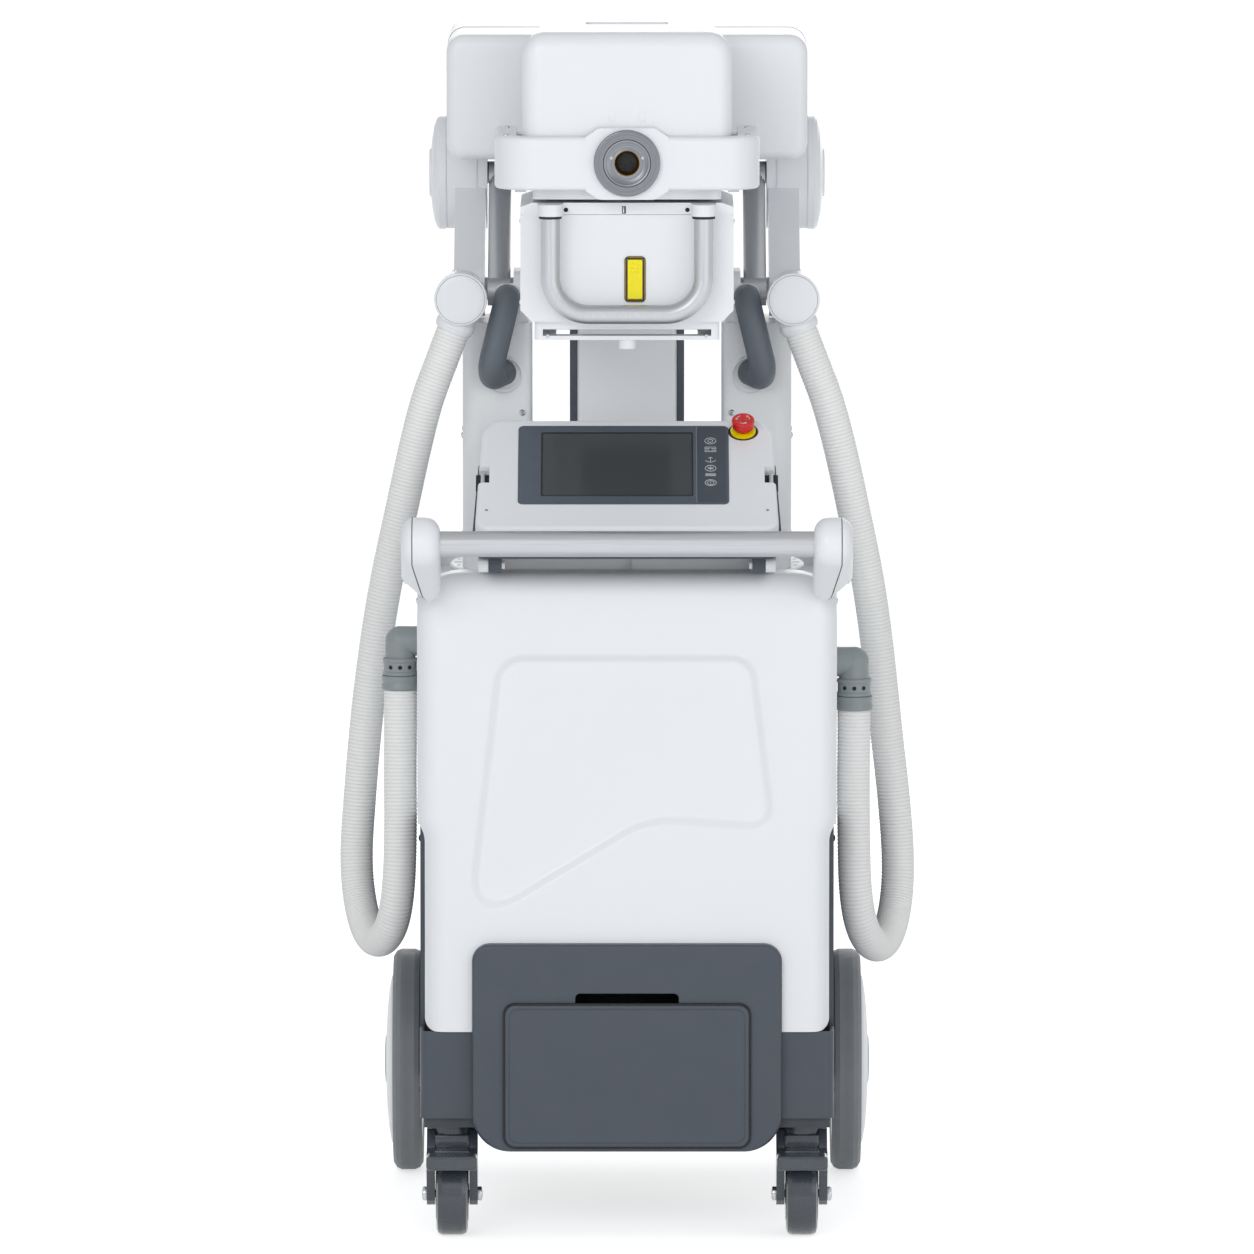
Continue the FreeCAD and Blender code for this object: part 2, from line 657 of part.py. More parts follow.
def top_cover():
    """Deck round the turntable's bearing."""
    half = BODY_HALF_WIDTH - SIDE_WALL - SEAT_GAP
    corner = REAR_ROUND - SIDE_WALL - SEAT_GAP
    deck = rounded_prism("XY", (DECK_TOP - DECK_WALL, DECK_TOP),
                         rectangle((-half, half), (BODY_FRONT + COVER_DEPTH + 7.0, BODY_REAR - SIDE_WALL - SEAT_GAP)),
                         [0, 0, corner, corner])
    hole = rod(SLEW_RADIUS + LID_GAP / 2, (0, SWIVEL_Y, DECK_TOP - DECK_WALL - 1), (0, SWIVEL_Y, DECK_TOP + 1))
    apron = block((-half, half), (BODY_FRONT + COVER_DEPTH + SEAT_GAP, BODY_FRONT + COVER_DEPTH + 7.0),
                  (DECK_TOP - DECK_WALL, COVER_TOP - COVER_TOP_RADIUS + 12))
    return deck.cut(hole).fuse(apron)


def drawer_housing():
    """Dark frame that stands proud of the cover, with the sleeve and rails that guide the drawer."""
    front = BODY_FRONT - FRAME_PROUD
    back = front + FRAME_WALL
    outline = rectangle((-FRAME_HALF_WIDTH, FRAME_HALF_WIDTH), (FRAME_BOTTOM, FRAME_TOP))
    frame = rounded_prism("XZ", (front, back), outline, [46, 46, 22, 22])
    frame = soften(frame, 4, lambda edge: spans_level(edge, "y", front))
    lid_half = LID_HALF_WIDTH + LID_GAP
    mouth = rectangle((-lid_half, lid_half), (LID_BOTTOM - LID_GAP, LID_TOP + LID_GAP))
    sleeve_rear = back + TRAY_DEPTH + SLEEVE_WALL
    sleeve = block((-SLEEVE_HALF_WIDTH, SLEEVE_HALF_WIDTH), (back - 1, sleeve_rear), (SLEEVE_BOTTOM, SLEEVE_TOP))
    room_half = SLEEVE_HALF_WIDTH - SLEEVE_WALL
    room = block((-room_half, room_half), (front + LID_THICKNESS + 2, sleeve_rear - SLEEVE_WALL),
                 (SLEEVE_BOTTOM + SLEEVE_WALL, SLEEVE_TOP - SLEEVE_WALL))
    housing = frame.fuse(sleeve).cut(room)
    housing = housing.cut(rounded_prism("XZ", (front - 1, front + LID_THICKNESS + 3), mouth, LID_ROUND))
    notch = rectangle((-NOTCH_HALF_WIDTH, NOTCH_HALF_WIDTH), (LID_TOP - 8, LID_TOP + NOTCH_HEIGHT))
    housing = housing.cut(rounded_prism("XZ", (front - 1, front + FRAME_WALL + 12), notch, 6))
    rail_x = TRAY_HALF_WIDTH + RUNNER_WIDTH + SEAT_GAP
    for side in (LEFT, RIGHT):
        rail = block((rail_x, SLEEVE_HALF_WIDTH - SLEEVE_WALL + 0.5), (back, sleeve_rear - SLEEVE_WALL),
                     (RUNNER_Z - 4, RUNNER_Z + RUNNER_HEIGHT + 4))
        housing = housing.fuse(mirrored(rail, side))
    return housing


def power_unit():
    """Battery box on the base plate and the generator tank behind the drawer, joined by a bracket."""
    plate_top = PLATE_BOTTOM + PLATE_WALL
    rear = BODY_REAR - SIDE_WALL - 12.0
    long, deep, high = BATTERY_SIZE
    battery = block((-long / 2, long / 2), (rear - deep + 70, rear), (plate_top + 14, plate_top + high))
    long, deep, high = GENERATOR_SIZE
    tank = block((-long / 2, long / 2), (rear - deep, rear), (plate_top + high / 2 - 60, plate_top + high))
    feet = block((-long / 2, long / 2), (rear - 8, rear), (plate_top, plate_top + 14))
    return battery.fuse(tank).fuse(feet)


# Console

def console_place(shape):
    """Move a shape from the console's own plane (x, v up the slope, w out of the face) to its place."""
    shape = shape.copy()
    shape.rotate(point(0, 0, 0), X_AXIS, CONSOLE_SLOPE)
    shape.translate(point(0, CONSOLE_FRONT_Y, CONSOLE_FRONT_Z))
    return shape


def console_outline(low, high, inset):
    bottom = CONSOLE_BOTTOM_HALF - inset
    top = CONSOLE_TOP_HALF - inset
    return [(-bottom, low), (bottom, low), (top + 3, high - 26), (top - 12, high), (-top + 12, high),
            (-top - 3, high - 26)]


def console_shell():
    """Light front shell with the seat for the bezel, the side notches and the stop button's hole."""
    outline = console_outline(0, CONSOLE_LENGTH, 0)
    shell = rounded_prism("XY", (-CONSOLE_THICKNESS, 0), outline, [CONSOLE_ROUND, CONSOLE_ROUND, 10, 10, 10, 10])
    shell = soften(shell, 5, lambda edge: spans_level(edge, "z", 0))
    seat = rectangle((BEZEL_LEFT - SEAT_GAP, BEZEL_RIGHT + SEAT_GAP), (BEZEL_LOW - SEAT_GAP, BEZEL_HIGH + SEAT_GAP))
    shell = shell.cut(rounded_prism("XY", (-BEZEL_SINK, 1), seat, 7))
    for side in (LEFT, RIGHT):
        notch = block((CONSOLE_BOTTOM_HALF - 17, CONSOLE_BOTTOM_HALF + 5), (94, 128), (-14, 1))
        shell = shell.cut(mirrored(notch, side))
    hole = Part.makeCylinder(ESTOP_COLLAR_RADIUS + SEAT_GAP, 9, point(ESTOP_X, ESTOP_V, -8))
    return console_place(shell.cut(hole))


def console_back():
    """Dark rear shell with the two lugs that turn on the bracket's pins."""
    inset = -4.0
    outline = console_outline(8, CONSOLE_LENGTH - 30, inset)
    low = -CONSOLE_THICKNESS - CONSOLE_BACK
    shell = rounded_prism("XY", (low, -CONSOLE_THICKNESS), outline, [CONSOLE_ROUND, CONSOLE_ROUND, 8, 8, 8, 8])
    shell = soften(shell, 6, lambda edge: spans_level(edge, "z", low))
    shell = console_place(shell)
    lug_x = TILT_ARM_X - SEAT_GAP - TILT_LUG_WIDTH
    for side in (LEFT, RIGHT):
        lug = link((lug_x, lug_x + TILT_LUG_WIDTH), (TILT_PIN_Y, TILT_PIN_Z), TILT_LUG_RADIUS,
                   (TILT_PIN_Y + 8, TILT_PIN_Z + 26), TILT_LUG_RADIUS + 4)
        shell = shell.fuse(mirrored(lug, side))
    bore = TILT_PIN_RADIUS + RUNNING
    for side in (LEFT, RIGHT):
        start = side * (lug_x - 1)
        shell = shell.cut(rod(bore, (start, TILT_PIN_Y, TILT_PIN_Z), (side * (TILT_ARM_X + 1), TILT_PIN_Y, TILT_PIN_Z)))
    return shell


def console_bezel():
    """Slate bezel with the screen's seat and a row of shallow key wells."""
    outline = rectangle((BEZEL_LEFT, BEZEL_RIGHT), (BEZEL_LOW, BEZEL_HIGH))
    bezel = rounded_prism("XY", (-BEZEL_SINK + SEAT_GAP, 1.0), outline, 7)
    seat = rectangle((SCREEN_LEFT, SCREEN_RIGHT), (SCREEN_LOW, SCREEN_HIGH))
    bezel = bezel.cut(rounded_prism("XY", (1.0 - SCREEN_THICKNESS, 2.0), seat, 2))
    return console_place(bezel)


def screen_glass():
    outline = rectangle((SCREEN_LEFT + SEAT_GAP, SCREEN_RIGHT - SEAT_GAP), (SCREEN_LOW + SEAT_GAP, SCREEN_HIGH - SEAT_GAP))
    return console_place(rounded_prism("XY", (1.0 - SCREEN_THICKNESS + SEAT_GAP, 0.6), outline, 2))


def estop_base():
    """Yellow collar that the stop button slides in."""
    base = Part.makeCylinder(ESTOP_COLLAR_RADIUS, 10, point(ESTOP_X, ESTOP_V, -7.7))
    bore = Part.makeCylinder(ESTOP_STEM_RADIUS + RUNNING, 12, point(ESTOP_X, ESTOP_V, -8.7))
    return console_place(base.cut(bore))


def estop_button():
    """Red mushroom button with its stem."""
    base = 2.3 + ESTOP_TRAVEL + SEAT_GAP
    cap = Part.makeCylinder(ESTOP_CAP_RADIUS, ESTOP_CAP_HEIGHT, point(ESTOP_X, ESTOP_V, base))
    cap = cap.makeFillet(2.5, [edge for edge in cap.Edges if spans_level(edge, "z", base + ESTOP_CAP_HEIGHT)])
    stem = Part.makeCylinder(ESTOP_STEM_RADIUS, base + 1 + 3.0, point(ESTOP_X, ESTOP_V, -3.0))
    return console_place(cap.fuse(stem))


def console_bracket():
    """Plinth behind the cover's top edge, with the arms that carry the console's pins."""
    slope = math.tan(math.radians(CONSOLE_SLOPE))
    lean = math.radians(CONSOLE_SLOPE)
    depth = CONSOLE_THICKNESS + CONSOLE_BACK + SEAT_GAP
    foot_y = CONSOLE_FRONT_Y + depth * math.sin(lean)
    foot_z = CONSOLE_FRONT_Z - depth * math.cos(lean)

    def under(y):
        return foot_z + (y - foot_y) * slope

    corners = [(PLINTH_FRONT + PLINTH_SLOT_DEPTH, DECK_TOP), (PLINTH_REAR, DECK_TOP), (PLINTH_REAR, under(PLINTH_REAR)),
               (PLINTH_FRONT + PLINTH_SLOT_DEPTH, under(PLINTH_FRONT + PLINTH_SLOT_DEPTH))]
    half = TILT_ARM_X + TILT_ARM_WIDTH
    core = rounded_prism("YZ", (-half, half), corners, 0)
    face = [(PLINTH_FRONT, DECK_TOP + 30), (PLINTH_FRONT + PLINTH_SLOT_DEPTH + 1, DECK_TOP + 30),
            (PLINTH_FRONT + PLINTH_SLOT_DEPTH + 1, under(PLINTH_FRONT) + 1), (PLINTH_FRONT, under(PLINTH_FRONT))]
    for side in (LEFT, RIGHT):
        panel = rounded_prism("YZ", (PLINTH_SLOT / 2, PLINTH_HALF_WIDTH), face, 0)
        arm = link((TILT_ARM_X, TILT_ARM_X + TILT_ARM_WIDTH), (TILT_PIN_Y, TILT_PIN_Z), TILT_LUG_RADIUS,
                   (PLINTH_FRONT + 25, TILT_PIN_Z + 8), TILT_LUG_RADIUS + 4)
        pin = rod(TILT_PIN_RADIUS, (TILT_ARM_X - TILT_LUG_WIDTH - 4, TILT_PIN_Y, TILT_PIN_Z),
                  (TILT_ARM_X + 1, TILT_PIN_Y, TILT_PIN_Z))
        core = core.fuse(mirrored(panel, side)).fuse(mirrored(arm, side)).fuse(mirrored(pin, side))
    return core


# Push handle

def push_bar():
    """Stainless tube whose ends sit in the pods."""
    ends = [(side * BAR_HALF_LENGTH, BAR_Y, BAR_Z) for side in (LEFT, RIGHT)]
    return rod(BAR_RADIUS, *ends).cut(rod(BAR_RADIUS - BAR_WALL, *ends))


def pod(side):
    """End housing of the push bar, with the arm that runs back beside the body to its pivot."""
    front = link((POD_INNER_X, POD_OUTER_X), (BAR_Y, BAR_Z), POD_RADIUS, (POD_HEEL_Y, POD_HEEL_Z), POD_HEEL_RADIUS)
    front = soften(front, POD_EDGE, lambda edge: spans_level(edge, "x", POD_INNER_X) or spans_level(edge, "x", POD_OUTER_X))
    low = POD_HEEL_Z - POD_HEEL_RADIUS - 1
    slant = rounded_prism("XZ", (BAR_Y - 60, POD_HEEL_Y + 60),
                          [(POD_SLANT_X, low), (POD_OUTER_X + 1, low), (POD_OUTER_X + 1, POD_SLANT_TOP)], 0)
    front = front.cut(slant)
    arm_inner = BODY_HALF_WIDTH + 1.5
    pivot = (HANDLE_PIN_Y, HANDLE_PIN_Z)
    arm = link((arm_inner, POD_OUTER_X - 2), (POD_HEEL_Y, POD_ARM_Z), POD_ARM_RADIUS, pivot, HANDLE_EYE_RADIUS)
    shape = front.fuse(arm)
    shape = shape.cut(rod(BAR_RADIUS + SEAT_GAP, (POD_INNER_X - 1, BAR_Y, BAR_Z), (BAR_HALF_LENGTH, BAR_Y, BAR_Z)))
    shape = shape.cut(rod(HANDLE_PIN_RADIUS + RUNNING, (arm_inner - 1, *pivot), (POD_OUTER_X - 2.5, *pivot)))
    return mirrored(shape, side)


# Drawer

def drawer_front():
    """The drawer's lid, with its eased edges."""
    front = BODY_FRONT - FRAME_PROUD - LID_PROUD
    outline = rectangle((-LID_HALF_WIDTH, LID_HALF_WIDTH), (LID_BOTTOM, LID_TOP))
    lid = rounded_prism("XZ", (front, front + LID_THICKNESS), outline, LID_ROUND)
    return soften(lid, 4, lambda edge: spans_level(edge, "y", front))


def drawer_tray():
    """Open tray with a runner on each side."""
    front = BODY_FRONT - FRAME_PROUD - LID_PROUD + LID_THICKNESS
    rear = BODY_FRONT - FRAME_PROUD + FRAME_WALL + TRAY_DEPTH - 4
    tray = block((-TRAY_HALF_WIDTH, TRAY_HALF_WIDTH), (front, rear), (TRAY_BOTTOM, TRAY_TOP))
    inner = TRAY_HALF_WIDTH - TRAY_WALL
    tray = tray.cut(block((-inner, inner), (front + TRAY_WALL, rear - TRAY_WALL), (TRAY_BOTTOM + TRAY_WALL, TRAY_TOP + 1)))
    for side in (LEFT, RIGHT):
        runner = block((TRAY_HALF_WIDTH - 0.5, TRAY_HALF_WIDTH + RUNNER_WIDTH), (front + 8, rear),
                       (RUNNER_Z, RUNNER_Z + RUNNER_HEIGHT))
        tray = tray.fuse(mirrored(runner, side))
    return tray


# Wheels

def wheel_tyre(side):
    """Solid rubber tyre with rounded shoulders."""
    inner = BODY_HALF_WIDTH + WHEEL_GAP
    outer = inner + TYRE_WIDTH
    low = WHEEL_RADIUS - TYRE_HEIGHT
    tyre = revolve_x([(inner + 2, low), (inner, WHEEL_RADIUS - 9), (inner + 4, WHEEL_RADIUS - 2.5),
                      (inner + 10, WHEEL_RADIUS), (outer - 10, WHEEL_RADIUS), (outer - 4, WHEEL_RADIUS - 2.5),
                      (outer, WHEEL_RADIUS - 9), (outer - 2, low)])
    tyre.translate(point(0, WHEEL_Y, WHEEL_RADIUS))
    return mirrored(tyre, side)


def wheel_hub(side):
    """Wheel body: a rim, a bearing bore and a domed outer cover."""
    inner = BODY_HALF_WIDTH + WHEEL_GAP + 2
    outer = BODY_HALF_WIDTH + WHEEL_GAP + TYRE_WIDTH - 2
    rim = WHEEL_RADIUS - TYRE_HEIGHT
    bore_end = BODY_HALF_WIDTH + WHEEL_GAP + TYRE_WIDTH + SEAT_GAP
    crown = outer + DOME_RISE
    profile = [(inner, AXLE_RADIUS + RUNNING), (inner, rim), (outer, rim), (outer + 1.5, rim - 3)]
    steps = 5
    for i in range(1, steps + 1):
        share = i / steps
        profile.append((outer + 1.5 + (DOME_RISE - 1.5) * math.sin(share * math.pi / 2), (rim - 3) * math.cos(share * math.pi / 2)))
    profile[-1] = (crown, 0)
    profile.append((bore_end, 0))
    profile.append((bore_end, AXLE_RADIUS + RUNNING))
    hub = revolve_x(profile)
    hub.translate(point(0, WHEEL_Y, WHEEL_RADIUS))
    return mirrored(hub, side)


def caster_fork(side):
    """Swivelling fork: stem, crown, two cranked legs, the axle with its bolt heads, and the pedal's pin."""
    crown_top = PLATE_BOTTOM - SEAT_GAP
    crown_low = crown_top - CROWN_WALL
    fork = rod(CROWN_RADIUS, (0, CASTER_Y, crown_low), (0, CASTER_Y, crown_top))
    fork = fork.fuse(rod(STEM_RADIUS, (0, CASTER_Y, crown_top - 1), (0, CASTER_Y, PLATE_BOTTOM + PLATE_WALL - 1)))
    leg_in = CASTER_WIDTH / 2 + FORK_GAP
    axle_y = CASTER_Y - CASTER_TRAIL
    nose_y = axle_y - NOSE_REACH
    nose_z = CASTER_RADIUS * 2 - NOSE_DROP
    outline = [(CASTER_Y + 22, crown_low + 6), (CASTER_Y - 20, crown_low + 6), (CASTER_Y - 34, nose_z + 8),
               (nose_y - 7, nose_z + 6.5), (nose_y - 5, nose_z - 8), (axle_y - 15, CASTER_RADIUS - 6),
               (axle_y, CASTER_RADIUS - 16), (axle_y + 15, CASTER_RADIUS - 4), (CASTER_Y + 20, crown_low - 12)]
    radii = [3, 3, 4, 4, 5, 8, 10, 8, 8]
    for turn in (LEFT, RIGHT):
        leg = rounded_prism("YZ", (leg_in, leg_in + FORK_LEG), outline, radii)
        fork = fork.fuse(mirrored(leg, turn))
        bridge_low = crown_low
        bridge = block((0, leg_in + FORK_LEG - 1), (CASTER_Y - 15, CASTER_Y + 15), (bridge_low, bridge_low + 6))
        fork = fork.fuse(mirrored(bridge, turn))
    axle_half = leg_in + FORK_LEG + 4
    fork = fork.fuse(rod(CASTER_AXLE_RADIUS, (-axle_half, axle_y, CASTER_RADIUS), (axle_half, axle_y, CASTER_RADIUS)))
    for turn in (LEFT, RIGHT):
        head = rod(CASTER_AXLE_RADIUS + 3, (turn * (leg_in + FORK_LEG - 0.5), axle_y, CASTER_RADIUS),
                   (turn * (axle_half + 1), axle_y, CASTER_RADIUS))
        fork = fork.fuse(head)
    fork = fork.fuse(rod(PEDAL_PIN_RADIUS, (-leg_in - 1, nose_y, nose_z), (leg_in + 1, nose_y, nose_z)))
    fork.translate(point(side * CASTER_X, 0, 0))
    return fork


def caster_wheel(side):
    """Caster wheel with eased shoulders and a running bore."""
    half = CASTER_WIDTH / 2
    wheel = revolve_x([(-half, CASTER_AXLE_RADIUS + RUNNING), (-half, CASTER_RADIUS - 7), (-half + 2, CASTER_RADIUS - 2),
                       (-half + 7, CASTER_RADIUS), (half - 7, CASTER_RADIUS), (half - 2, CASTER_RADIUS - 2),
                       (half, CASTER_RADIUS - 7), (half, CASTER_AXLE_RADIUS + RUNNING)])
    wheel.translate(point(side * CASTER_X, CASTER_Y - CASTER_TRAIL, CASTER_RADIUS))
    return wheel


def caster_pedal(side):
    """Brake pedal that turns on the pin between the fork's noses."""
    leg_in = CASTER_WIDTH / 2 + FORK_GAP
    nose_y = CASTER_Y - CASTER_TRAIL - NOSE_REACH
    nose_z = CASTER_RADIUS * 2 - NOSE_DROP
    width = leg_in - SEAT_GAP
    barrel = rod(PEDAL_PIN_RADIUS + 3, (-width, nose_y, nose_z), (width, nose_y, nose_z))
    plate_rear = nose_y - 8
    neck = block((-width + 2, width - 2), (plate_rear - 2, nose_y), (nose_z - 3, nose_z + 3))
    tread_front = plate_rear - PEDAL_LENGTH
    tread = rounded_prism("XZ", (tread_front, plate_rear - 1),
                          rectangle((-leg_in - FORK_LEG, leg_in + FORK_LEG),
                                    (nose_z - PEDAL_THICKNESS / 2, nose_z + PEDAL_THICKNESS / 2)), PEDAL_ROUND)
    tread = soften(tread, PEDAL_ROUND - 1, lambda edge: spans_level(edge, "y", tread_front))
    pedal = barrel.fuse(neck).fuse(tread)
    pedal = pedal.cut(rod(PEDAL_PIN_RADIUS + RUNNING, (-width - 1, nose_y, nose_z), (width + 1, nose_y, nose_z)))
    pedal.translate(point(side * CASTER_X, 0, 0))
    return pedal


# Turntable, towers and centre column

def turntable_plate():
    """Disc that turns on the bearing ring, with its spigot."""
    low = TURNTABLE_TOP - TURNTABLE_WALL
    plate = rod(TURNTABLE_RADIUS, (0, SWIVEL_Y, low), (0, SWIVEL_Y, TURNTABLE_TOP))
    plate = plate.makeFillet(3, [edge for edge in plate.Edges if spans_level(edge, "z", TURNTABLE_TOP)])
    return plate.fuse(rod(SPIGOT_RADIUS, (0, SWIVEL_Y, low - SPIGOT_LENGTH), (0, SWIVEL_Y, low + 1)))


def tower(side):
    """Hollow tower, open behind, with the lug that carries the arm and the posts for the grip and drum."""
    rear = TOWER_FRONT + TOWER_DEPTH
    span = (TURNTABLE_TOP, TOWER_TOP)
    outline = rectangle((TOWER_INNER_X, TOWER_OUTER_X), (TOWER_FRONT, rear))
    shell = rounded_prism("XY", span, outline, [TOWER_ROUND / 2, TOWER_ROUND, TOWER_ROUND / 2, 6])
    inner = rectangle((TOWER_INNER_X + TOWER_WALL, TOWER_OUTER_X - TOWER_WALL), (TOWER_FRONT + TOWER_WALL, rear + 1))
    shell = shell.cut(rounded_prism("XY", (TURNTABLE_TOP + TOWER_WALL, TOWER_TOP - TOWER_WALL), inner,
                                    [4, TOWER_ROUND - TOWER_WALL, 0, 0]))
    lug_span = (LUG_INNER_X, LUG_INNER_X + LUG_WIDTH)
    tie_y = SHOULDER_Y - TIE_OFFSET
    lug = link(lug_span, (tie_y, SHOULDER_Z), LUG_RADIUS, (SHOULDER_Y, SHOULDER_Z), LUG_RADIUS)
    lug = lug.fuse(block(lug_span, (tie_y - LUG_RADIUS, SHOULDER_Y + LUG_RADIUS), (TOWER_TOP - 1, SHOULDER_Z)))
    tie_end = TIE_X + TIE_RADIUS
    pin = rod(TIE_PIN_RADIUS, (LUG_INNER_X + 1, tie_y, SHOULDER_Z), (tie_end, tie_y, SHOULDER_Z))
    collar = rod(TIE_PIN_RADIUS + 4, (LUG_INNER_X + LUG_WIDTH - 1, tie_y, SHOULDER_Z),
                 (TIE_X - TIE_RADIUS - SEAT_GAP, tie_y, SHOULDER_Z))
    shell = shell.fuse(lug).fuse(collar).fuse(pin)
    shell = shell.cut(rod(CROSS_SHAFT_RADIUS + RUNNING, (LUG_INNER_X - 1, SHOULDER_Y, SHOULDER_Z),
                          (LUG_INNER_X + LUG_WIDTH + 1, SHOULDER_Y, SHOULDER_Z)))
    post_y = (TOWER_FRONT + 2, TOWER_FRONT + 2 + POST_DEPTH)
    post = rounded_prism("XZ", post_y, rectangle((GRIP_TOP_X - GRIP_RADIUS, GRIP_TOP_X + GRIP_RADIUS),
                                                 (TOWER_TOP - 1, GRIP_TOP_Z + GRIP_RADIUS)), [0, 0, 12, 12])
    saddle = block((DRUM_X - 22, DRUM_X - 4), post_y, (TOWER_TOP - 1, SHOULDER_Z - DRUM_RADIUS + 6))
    saddle = saddle.cut(rod(DRUM_RADIUS + SEAT_GAP, (DRUM_X, DRUM_FRONT, SHOULDER_Z), (DRUM_X, DRUM_REAR + 20, SHOULDER_Z)))
    shell = shell.fuse(post).fuse(saddle)
    cup = rod(CUP_RADIUS, (GRIP_FOOT_X, TOWER_FRONT - 1, GRIP_LOW_Z + 4), (GRIP_FOOT_X, TOWER_FRONT + CUP_DEPTH, GRIP_LOW_Z + 4))
    return mirrored(shell.cut(cup), side)


def centre_column():
    """Centre column: a light face between two set-back dark side channels, open behind."""
    rear = COLUMN_FRONT + COLUMN_DEPTH
    wide = block((-COLUMN_HALF_WIDTH, COLUMN_HALF_WIDTH), (COLUMN_FRONT + COLUMN_STEP, rear), (TURNTABLE_TOP, COLUMN_TOP))
    face = rounded_prism("XY", (TURNTABLE_TOP, COLUMN_TOP),
                         rectangle((-COLUMN_FACE_HALF, COLUMN_FACE_HALF), (COLUMN_FRONT, rear - 1)), [4, 4, 0, 0])
    column = wide.fuse(face)
    inner = COLUMN_FACE_HALF - COLUMN_STEP
    hollow = block((-inner, inner), (COLUMN_FRONT + COLUMN_STEP, rear + 1), (TURNTABLE_TOP + COLUMN_STEP, COLUMN_TOP - COLUMN_STEP))
    return column.cut(hollow)


def grip(side):
    """Bent steel grip with a rubber sleeve, from the post on the tower's top to the cup in its face."""
    seat = TOWER_FRONT + CUP_DEPTH
    points = [(GRIP_TOP_X, TOWER_FRONT + 2, GRIP_TOP_Z), (GRIP_TOP_X, GRIP_FRONT, GRIP_TOP_Z),
              (GRIP_LOW_X, GRIP_FRONT, GRIP_LOW_Z), (GRIP_FOOT_X, seat, GRIP_LOW_Z + 4)]
    tube, length = bent_tube(points, GRIP_RADIUS, [GRIP_BEND, GRIP_BEND])
    trim = block((GRIP_FOOT_X - 60, GRIP_FOOT_X + 60), (seat, seat + 40), (GRIP_LOW_Z - 60, GRIP_LOW_Z + 60))
    return mirrored(tube.cut(trim), side)


def hose_drum(side):
    """Drum that the hose enters, with its flat front cap and the outlet underneath."""
    axis = (DRUM_X, SHOULDER_Z)
    drum = rod(DRUM_RADIUS, (axis[0], DRUM_FRONT, axis[1]), (axis[0], DRUM_REAR, axis[1]))
    cap = rod(DRUM_CAP_RADIUS, (axis[0], DRUM_FRONT, axis[1]), (axis[0], DRUM_FRONT + DRUM_CAP_WIDTH, axis[1]))
    cap = cap.makeFillet(2, [edge for edge in cap.Edges if spans_level(edge, "y", DRUM_FRONT)])
    hose = RIGHT_HOSE
    start = point(*hose[0])
    heading = (point(*hose[1]) - start).normalize()
    top = start - heading * OUTLET_DROP
    outlet = Part.makeCylinder(OUTLET_RADIUS, OUTLET_DROP - SEAT_GAP, top, heading)
    return mirrored(drum.fuse(cap).fuse(outlet), side)


# Lifting arm

def lower_arm():
    """Welded H frame: two arms with their round elbow housings, and the cross shaft."""
    shape = rod(CROSS_SHAFT_RADIUS, (-ARM_INNER_X - 1, SHOULDER_Y, SHOULDER_Z), (ARM_INNER_X + 1, SHOULDER_Y, SHOULDER_Z))
    span = (ARM_INNER_X, ARM_INNER_X + ARM_WIDTH)
    for side in (LEFT, RIGHT):
        arm = link(span, (SHOULDER_Y, SHOULDER_Z), SHOULDER_EYE_RADIUS, (HUB_Y, HUB_Z), ARM_HALF_HEIGHT)
        drum = rod(HUB_RADIUS, (HUB_INNER_X, HUB_Y, HUB_Z), (HUB_OUTER_X, HUB_Y, HUB_Z))
        groove = rod(HUB_RADIUS + 1, (HUB_INNER_X + 11, HUB_Y, HUB_Z), (HUB_INNER_X + 13, HUB_Y, HUB_Z))
        core = rod(HUB_RADIUS - 2, (HUB_INNER_X, HUB_Y, HUB_Z), (HUB_OUTER_X, HUB_Y, HUB_Z))
        drum = drum.cut(groove).fuse(core)
        bore = rod(ELBOW_SHAFT_RADIUS + RUNNING, (HUB_INNER_X - 1, HUB_Y, HUB_Z), (HUB_INNER_X + 30, HUB_Y, HUB_Z))
        shape = shape.fuse(mirrored(arm.fuse(drum).cut(bore), side))
    return shape


def hub_cap(side):
    """Domed round cap on the elbow housing."""
    start = HUB_OUTER_X
    rim = start + HUB_CAP_WIDTH * 0.45
    profile = [(start, 0), (start, HUB_CAP_RADIUS - 2), (start + 2, HUB_CAP_RADIUS), (rim, HUB_CAP_RADIUS)]
    steps = 5
    for i in range(1, steps + 1):
        share = i / steps * math.pi / 2
        profile.append((rim + (HUB_CAP_WIDTH * 0.55) * math.sin(share), HUB_CAP_RADIUS * math.cos(share)))
    profile[-1] = (start + HUB_CAP_WIDTH, 0)
    cap = revolve_x(profile)
    cap.translate(point(0, HUB_Y, HUB_Z))
    return mirrored(cap, side)


def tie_rod(side):
    """Steel tie rod with an eye at each end, parallel to the arm."""
    low = (SHOULDER_Y - TIE_OFFSET, SHOULDER_Z)
    high = (HUB_Y - TIE_OFFSET, HUB_Z)
    shape = rod(TIE_RADIUS, (TIE_X, *low), (TIE_X, *high))
    span = (TIE_X - TIE_RADIUS, TIE_X + TIE_RADIUS)
    for y, z in (low, high):
        shape = shape.fuse(rod(TIE_EYE_RADIUS, (span[0], y, z), (span[1], y, z)))
    for y, z in (low, high):
        shape = shape.cut(rod(TIE_PIN_RADIUS + RUNNING, (span[0] - 1, y, z), (span[1] + 1, y, z)))
    return mirrored(shape, side)


